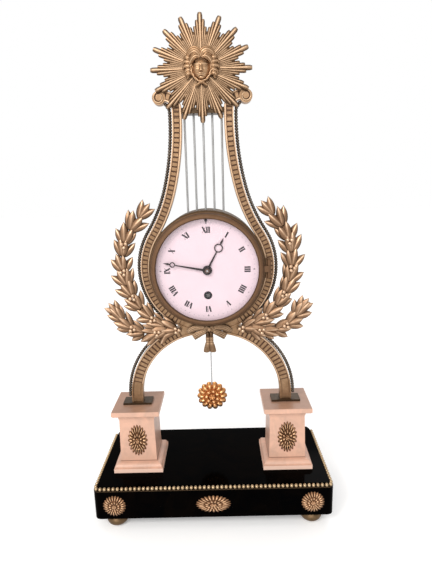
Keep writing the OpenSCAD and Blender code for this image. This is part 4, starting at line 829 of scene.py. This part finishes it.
# Height over share q of the way to the rim: petals are |cos| ridges that arch out and fall at the tips
def flower(spec, mid, back, lean=0.0):
    n = spec["petals"]
    th = circle(n * 14)
    q = np.linspace(1, 0, 56)[:, None]
    ridge = np.abs(np.cos(n * th / 2))
    ridgeMid = np.abs(np.sin(round(n * 0.5) * th / 2))
    heart = np.abs(np.cos(6 * th / 2 + 0.5))
    outer = (0.66 - spec["cut"] * (1 - ridge**0.9)) * (1 - 0.75 * ease(q, 0.72, 1.0) * (0.6 + 0.4 * q))
    outer = outer * ease(q, 0.44, 0.62)
    inner = (0.82 - spec["cut"] * (1 - ridgeMid**0.9)) * (1 - ease(q, 0.44, 0.57)) * ease(q, 0.2, 0.34)
    core = (0.74 + 0.26 * heart * ease(q, 0.04, 0.16)) * (1 - ease(q, 0.17, 0.29))
    h = np.maximum(np.maximum(outer, inner), core)
    h[0] = np.minimum(h[0], 0.16)
    rim = q * (1 - spec["scallop"] * (1 - ridge**0.8))
    front = np.stack([spec["rx"] * rim * np.cos(th), -spec["relief"] * h, spec["rz"] * rim * np.sin(th)], -1)
    flat = front[[-1, 0]] * np.array([1, 0, 1])
    # Painted highlight on the petals' ridges and painted shade between them
    onInner = np.where(inner >= h - 1e-6, ridgeMid * 1.8 - 0.9, heart * 1.4 - 0.6)
    shade = np.clip(np.where(outer >= h - 1e-6, ridge * 1.9 - 1.05, onInner), -0.95, 0.9)
    shade = np.minimum(shade, 2.6 * h - 0.85)  # painted shade in the grooves between the rings
    grid = np.concatenate([flat, front])
    ca, sa = math.cos(lean), math.sin(lean)
    x, y, z = grid[..., 0], grid[..., 1] * ca - grid[..., 2] * sa, grid[..., 1] * sa + grid[..., 2] * ca
    paintedShading = np.concatenate([np.full_like(shade[:2], -0.6), shade])
    return sheet(np.stack([x, y, z], -1) + np.array([mid[0], back, mid[2]]), paintedShading=paintedShading)


rosettes = nodeBox("base_rosettes")
rosetteX = rosettes[1][0] - flowers["rosettes"]["rx"]
rosetteZ, slabFront = middle("base_rosettes")[2], rosettes[1][1]
pair = [flower(flowers["rosettes"], (s * rosetteX, 0, rosetteZ), slabFront) for s in (-1, 1)]
makePiece("slabRosettes", pair, pateraGilt, ["base_rosettes"])
patera = flower(flowers["slabPatera"], middle("base_patera"), slabFront)
makePiece("slabPatera", [patera], pateraGilt, ["base_patera"])
dieLean, dieSink = -math.atan(0.95 / 47.4), 0.36  # the pedestals' dies taper a little
for sideName in ("left", "right"):
    name = "pedestal_patera_" + sideName
    patera = flower(flowers["pedestalPatera"], middle(name), nodeBox(name)[1][1] - dieSink, dieLean)
    makePiece("pedestalPatera" + sideName.capitalize(), [patera], pateraGilt, [name])
bobLow, bobHigh = nodeBox("pendulum_bob")
bobMid = (bobLow + bobHigh) / 2
bob = flowers["bob"]
bobParts = [flower(bob, bobMid, bobLow[1] + bob["relief"] + bob["lift"]),
            ball((bobMid[0], bobHigh[1] - bob["backIn"], bobMid[2]), bob["back"], rows=11, count=48, paintedShading=-0.2)]
makePiece("bobFlower", bobParts, bobGilt, ["pendulum_bob"], body="pendulum")

# Bow: pleated ribbons run out from the knot, flat tubes whose front is drawn into folds.
# A ribbon is its points as (across, forward, up), half widths along it, thickness and lift
bow = {"pleats": 5, "depth": 0.42, "steps": 30, "knotUp": 3.8, "knot": (2.6, 1.7, 3.0), "ribbons": (
    (((0, 1.5, 0), (5, 2.0, 2.0), (11, 1.8, 2.4), (17, 1.2, 0.8), (22.5, 0.8, -2.6)),
     (1.5, 2.6, 3.3, 3.2, 2.2), 0.9, 0.4),
    (((0, 1.6, -0.6), (5, 2.4, -1.9), (11, 2.0, -4.4), (16.4, 1.3, -7.6)), (1.5, 2.6, 3.4, 3.5), 0.9, 0.6),
    (((0.4, 2.2, 1.8), (2.6, 3.0, 3.0), (4.6, 2.8, 0.6), (1.8, 2.6, -1.6)), (1.1, 1.4, 1.4, 1.1), 0.85, 0.6))}
tasselLow, tasselHigh = nodeBox("tassels")
bowAt = np.array([0, nodeBox("ribbon_bow")[1][1], tasselHigh[2] + bow["knotUp"]])


# Ribbon: a flat fluted tube whose half width follows a list of widths
def ribbon(points, widths, thick, lift):
    path = curve([(x, y - lift, z) for x, y, z in points], bow["steps"])
    w = np.interp(np.linspace(0, 1, bow["steps"]), np.linspace(0, 1, len(widths)), widths)
    return tube(path, w, thick, count=40, paintedShading=0.05, flutes=bow["pleats"] * 2, fluteDepth=bow["depth"])


bowSheets = [ribbon(toSide(points, s), *rest) for s in (-1, 1) for points, *rest in bow["ribbons"]]
bowSheets.append(ball((0, -2.6, 0), bow["knot"], rows=11, count=24, paintedShading=0.1))
bowSheets = [placed(one, 1, bowAt) for one in bowSheets]
makePiece("ribbonBow", bowSheets, bowGilt, ["ribbon_bow"])

# Tassels: turned heads over a skirt of threads, which are flutes that deepen downwards.
# The profile goes up from the hem: share of the height, share of the radius
tassel = {"h": tasselHigh[2] - tasselLow[2], "r": (tasselHigh[1] - tasselLow[1]) / 2 + 0.2, "threads": 16,
          "cut": 0.12, "hemOut": 0.97, "drawIn": 0.42,
          "profile": ((0, 0), (0, 0.95), (0.02, 1.0), (0.12, 0.98), (0.24, 0.93), (0.36, 0.86), (0.46, 0.77),
                      (0.52, 0.7), (0.55, 0.62), (0.58, 0.68), (0.61, 0.68), (0.64, 0.6), (0.67, 0.68),
                      (0.7, 0.68), (0.73, 0.6), (0.76, 0.68), (0.79, 0.68), (0.84, 0.6), (0.9, 0.62),
                      (1.0, 0.6), (1.12, 0.56), (1.12, 0))}


# Tassel: the profile turned about an axis that leans out towards the hem, fluted below the head
def tasselSheet(side):
    u, r = np.array(tassel["profile"]).T[..., None]
    th = circle(tassel["threads"] * 6)
    cut = tassel["cut"] * ease(u, 0.6, 0.3) * (0.5 - 0.5 * np.cos(tassel["threads"] * th))
    rad = tassel["r"] * r * (1 - cut)
    x = side * tassel["r"] * (tassel["hemOut"] - tassel["drawIn"] * ease(u, 0.0, 0.6)) + rad * np.cos(th)
    y = (tasselLow[1] + tasselHigh[1]) / 2 + rad * np.sin(th)
    # Painted shade in the grooves of the head and between the threads
    band = np.where((r < 0.625) & (u > 0.5), -0.9, 0.1)
    grid = np.stack([x, y, tasselLow[2] + tassel["h"] * u + 0 * th], -1)
    return sheet(grid, paintedShading=band + 0.2 - cut * 9)


makePiece("tasselPair", [tasselSheet(-1), tasselSheet(1)], bowGilt, ["tassels"])

# Dial: painted strokes lie on the enamel, the numerals with their heads outwards
dial = {"radius": 38.9, "height": 5.9, "thick": 1.5, "thin": 0.42, "lift": 0.03, "layer": 0.004, "dotR": 46.2,
        "dot": (0.34, 0.03, 0.34), "serif": 0.24, "serifHalf": 0.9, "wide": {"I": 2.05, "V": 3.4, "X": 3.7},
        "plugZ": 47.8, "plug": (1.45, 0.2, 1.45),
        "hourMark": (0.9, 0.4), "quarterMark": (2.0, 0.5),  # length inwards, width
        "cross": (0.6, 0.8, 0.45)}  # way in from the ring, half length, width
numerals = ["XII", "I", "II", "III", "IIII", "V", "VI", "VII", "VIII", "IX", "X", "XI"]
# Rings: height over the dial's middle, inner and outer radius, front and back from the dial's face, sides
keyhole, dialEdge = (-25, 2.2, 4.05, 0.2, 0.5, 40), (0, 55.1, 56.0, -0.15, 1.55, 160)


# Stroke: the four corners of a bar of some width between two points
def bar(x0, z0, x1, z1, width):
    d = np.array([x1 - x0, z1 - z0])
    n = np.array([-d[1], d[0]]) / np.linalg.norm(d) * width / 2
    return np.array([[x0, z0] + n, [x0, z0] - n, [x1, z1] - n, [x1, z1] + n])


# Letter: an I is a thick bar with serifs, a V or X one thick and one thin bar
def glyphBars(letter, x):
    h, k, n = dial["height"] / 2, dial["thick"], dial["thin"]
    w, foot, half = dial["wide"][letter] / 2 - 0.25, h - dial["serif"] / 2, dial["serifHalf"]
    if letter == "I":
        return [bar(x, -h, x, h, k)] + [bar(x - half, z, x + half, z, dial["serif"]) for z in (foot, -foot)]
    if letter == "V":
        return [bar(x - w, h, x, -h, k), bar(x + w, h, x, -h, n)]
    return [bar(x - w, h, x + w, -h, k), bar(x + w, h, x - w, -h, n)]


# A stroke drawn at twelve is turned to its hour and raised a little, so that no two lie in one plane
def strokeSheet(corners, hour, layer):
    c, s = math.cos(hour * math.pi / 6), math.sin(hour * math.pi / 6)
    x = dialMid[0] + corners[:, 0] * c + corners[:, 1] * s
    z = dialMid[2] - corners[:, 0] * s + corners[:, 1] * c
    return plaque(x, z, dialFront - 0.005, dial["lift"] + dial["layer"] * layer)


# Ring: a rectangular section turned about an axis through the dial
def flatRing(z, inner, outer, front, back, count):
    turn = circle(count)
    r = np.array([inner, outer, outer, inner])[:, None]
    y = dialFront + np.array([back, back, front, front])[:, None] + 0 * turn
    grid = np.stack([dialMid[0] + r * np.cos(turn), y, dialMid[2] + z + r * np.sin(turn)], -1)
    return sheet(grid, closed=True)


strokes, dots = [], []
for hour, word in enumerate(numerals):
    x = -sum(dial["wide"][c] for c in word) / 2
    for i, c in enumerate(word):
        for j, corners in enumerate(glyphBars(c, x + dial["wide"][c] / 2)):
            strokes.append(strokeSheet(corners + np.array([0, dial["radius"]]), hour, (i * 3 + j) % 7))
        x += dial["wide"][c]
    quarter = hour % 3 == 0
    if quarter:
        inward, half, wide = dial["cross"]
        z = dial["dotR"] - inward
        strokes.append(strokeSheet(bar(-half, z, half, z, wide), hour, 1))
    long, wide = dial["quarterMark" if quarter else "hourMark"]
    strokes.append(strokeSheet(bar(0, dial["dotR"] - long, 0, dial["dotR"] + 0.2, wide), hour, 0))
for minute in range(60):
    if minute % 5:
        a = minute * math.pi / 30
        x, z = dialMid[0] + dial["dotR"] * math.sin(a), dialMid[2] + dial["dotR"] * math.cos(a)
        dots.append(ball((x, dialFront - 0.012, z), dial["dot"], rows=5, count=12))
# A dark plug in the dial's hole over twelve, and a black ring inside the keyhole as painted shade
strokes.append(ball((dialMid[0], dialFront + 0.3, dialMid[2] + dial["plugZ"]), dial["plug"], rows=5, count=20))
strokes.append(flatRing(*keyhole))
makePiece("dialRing", [flatRing(*dialEdge)], caseBrass, smooth=False)
makePiece("dialNumerals", strokes, paint, smooth=False)
makePiece("dialMinutes", dots, greyPaint, smooth=False)

# Stage: pale floor, white sky, soft lamps
stage = {"floorHalf": 6, "floorZ": -0.0002, "glow": 0.14, "ambient": 0.7, "sun": 1.6, "sunSize": 50,
         "sunTurn": (60, -16)}
half, low = stage["floorHalf"], stage["floorZ"]
floorMesh = bpy.data.meshes.new("floor")
corners = [(x * half, y * half, low) for x, y in ((-1, -1), (1, -1), (1, 1), (-1, 1))]
floorMesh.from_pydata(corners, [], [(0, 1, 2, 3)])
floorPale, tree, shader = plainMaterial("floorPale", (0.93, 0.93, 0.93), 0.0, 0.8)
shader.inputs["Emission Color"].default_value = (1, 1, 1, 1)
shader.inputs["Emission Strength"].default_value = stage["glow"]
floorMesh.materials.append(floorPale)
floor = addObject("floor", floorMesh)

world = bpy.data.worlds.new("studio")
scene.world = world
world.use_nodes = True
tree = world.node_tree
ambient = tree.nodes["Background"]
ambient.inputs["Color"].default_value = (1, 0.985, 0.97, 1)
ambient.inputs["Strength"].default_value = stage["ambient"]
white = nodeOf(tree, "Background", Color=(1, 1, 1, 1), Strength=1.0)
lightPath = nodeOf(tree, "LightPath")
choose = nodeOf(tree, "MixShader")
seen = lightPath.outputs["Is Camera Ray"]
for kind in ("Is Glossy Ray", "Is Transmission Ray"):  # metal and glass show the white too
    either = mathOf(tree, "MAXIMUM")
    wire(seen, either.inputs[0])
    wire(lightPath.outputs[kind], either.inputs[1])
    seen = either.outputs[0]
wire(seen, choose.inputs[0])
wire(ambient.outputs[0], choose.inputs[1])
wire(white.outputs[0], choose.inputs[2])
wire(choose.outputs[0], tree.nodes["World Output"].inputs["Surface"])


# Matrix of an object from its three unit axes and its place
def axesMatrix(x, y, z, place):
    return Matrix([[x[i], y[i], z[i], place[i]] for i in range(3)] + [[0, 0, 0, 1]])


# A round lamp that looks at a target
def lamp(name, place, target, size, power, colour=(1, 1, 1)):
    data = bpy.data.lights.new(name, "AREA")
    data.shape, data.size, data.energy, data.color = "DISK", size, power, colour
    back = unit(np.array(place, float) - np.array(target, float))
    side = unit(np.cross([0, 0, 1], back))
    addObject(name, data).matrix_world = axesMatrix(side, np.cross(back, side), back, place)


# Lamps: place, target, size, power, colour
lamp("key", (-0.8, -1.1, 1.2), (0, 0, 0.26), 0.5, 11.0, (1, 0.97, 0.93))
lamp("rim", (0.5, 1.2, 1.3), (0, 0, 0.3), 0.8, 4.5)
skyData = bpy.data.lights.new("sky", "SUN")
skyData.energy, skyData.angle = stage["sun"], math.radians(stage["sunSize"])
addObject("sky", skyData).rotation_euler = (*np.radians(stage["sunTurn"]), 0)

# Camera as fitted to the photograph, its place in millimetres and its turns in degrees
view = {"place": (11.60, -438.61, 335.04), "lens": 27.736, "yaw": 0.496, "pitch": 12.575, "roll": 1.55}
(cy, sy), (cp, sp), (cr, sr) = ((math.cos(a), math.sin(a))
                                for a in np.radians([view["yaw"], view["pitch"], view["roll"]]))
level = np.array([cy, sy, 0])
ahead = np.array([-sy * cp, cy * cp, -sp])
above = np.array([-sy * sp, cy * sp, cp])
right, up = cr * level - sr * above, sr * level + cr * above
cameraData = bpy.data.cameras.new("camera")
cameraData.sensor_width, cameraData.lens = 36.0, view["lens"]
cameraData.clip_start, cameraData.clip_end = 0.01, 50.0
camera = addObject("camera", cameraData)
camera.matrix_world = axesMatrix(right, up, -ahead, np.array(view["place"]) / 1000)
scene.camera = camera
scene.view_settings.view_transform = "Standard"
print("stage and camera set")
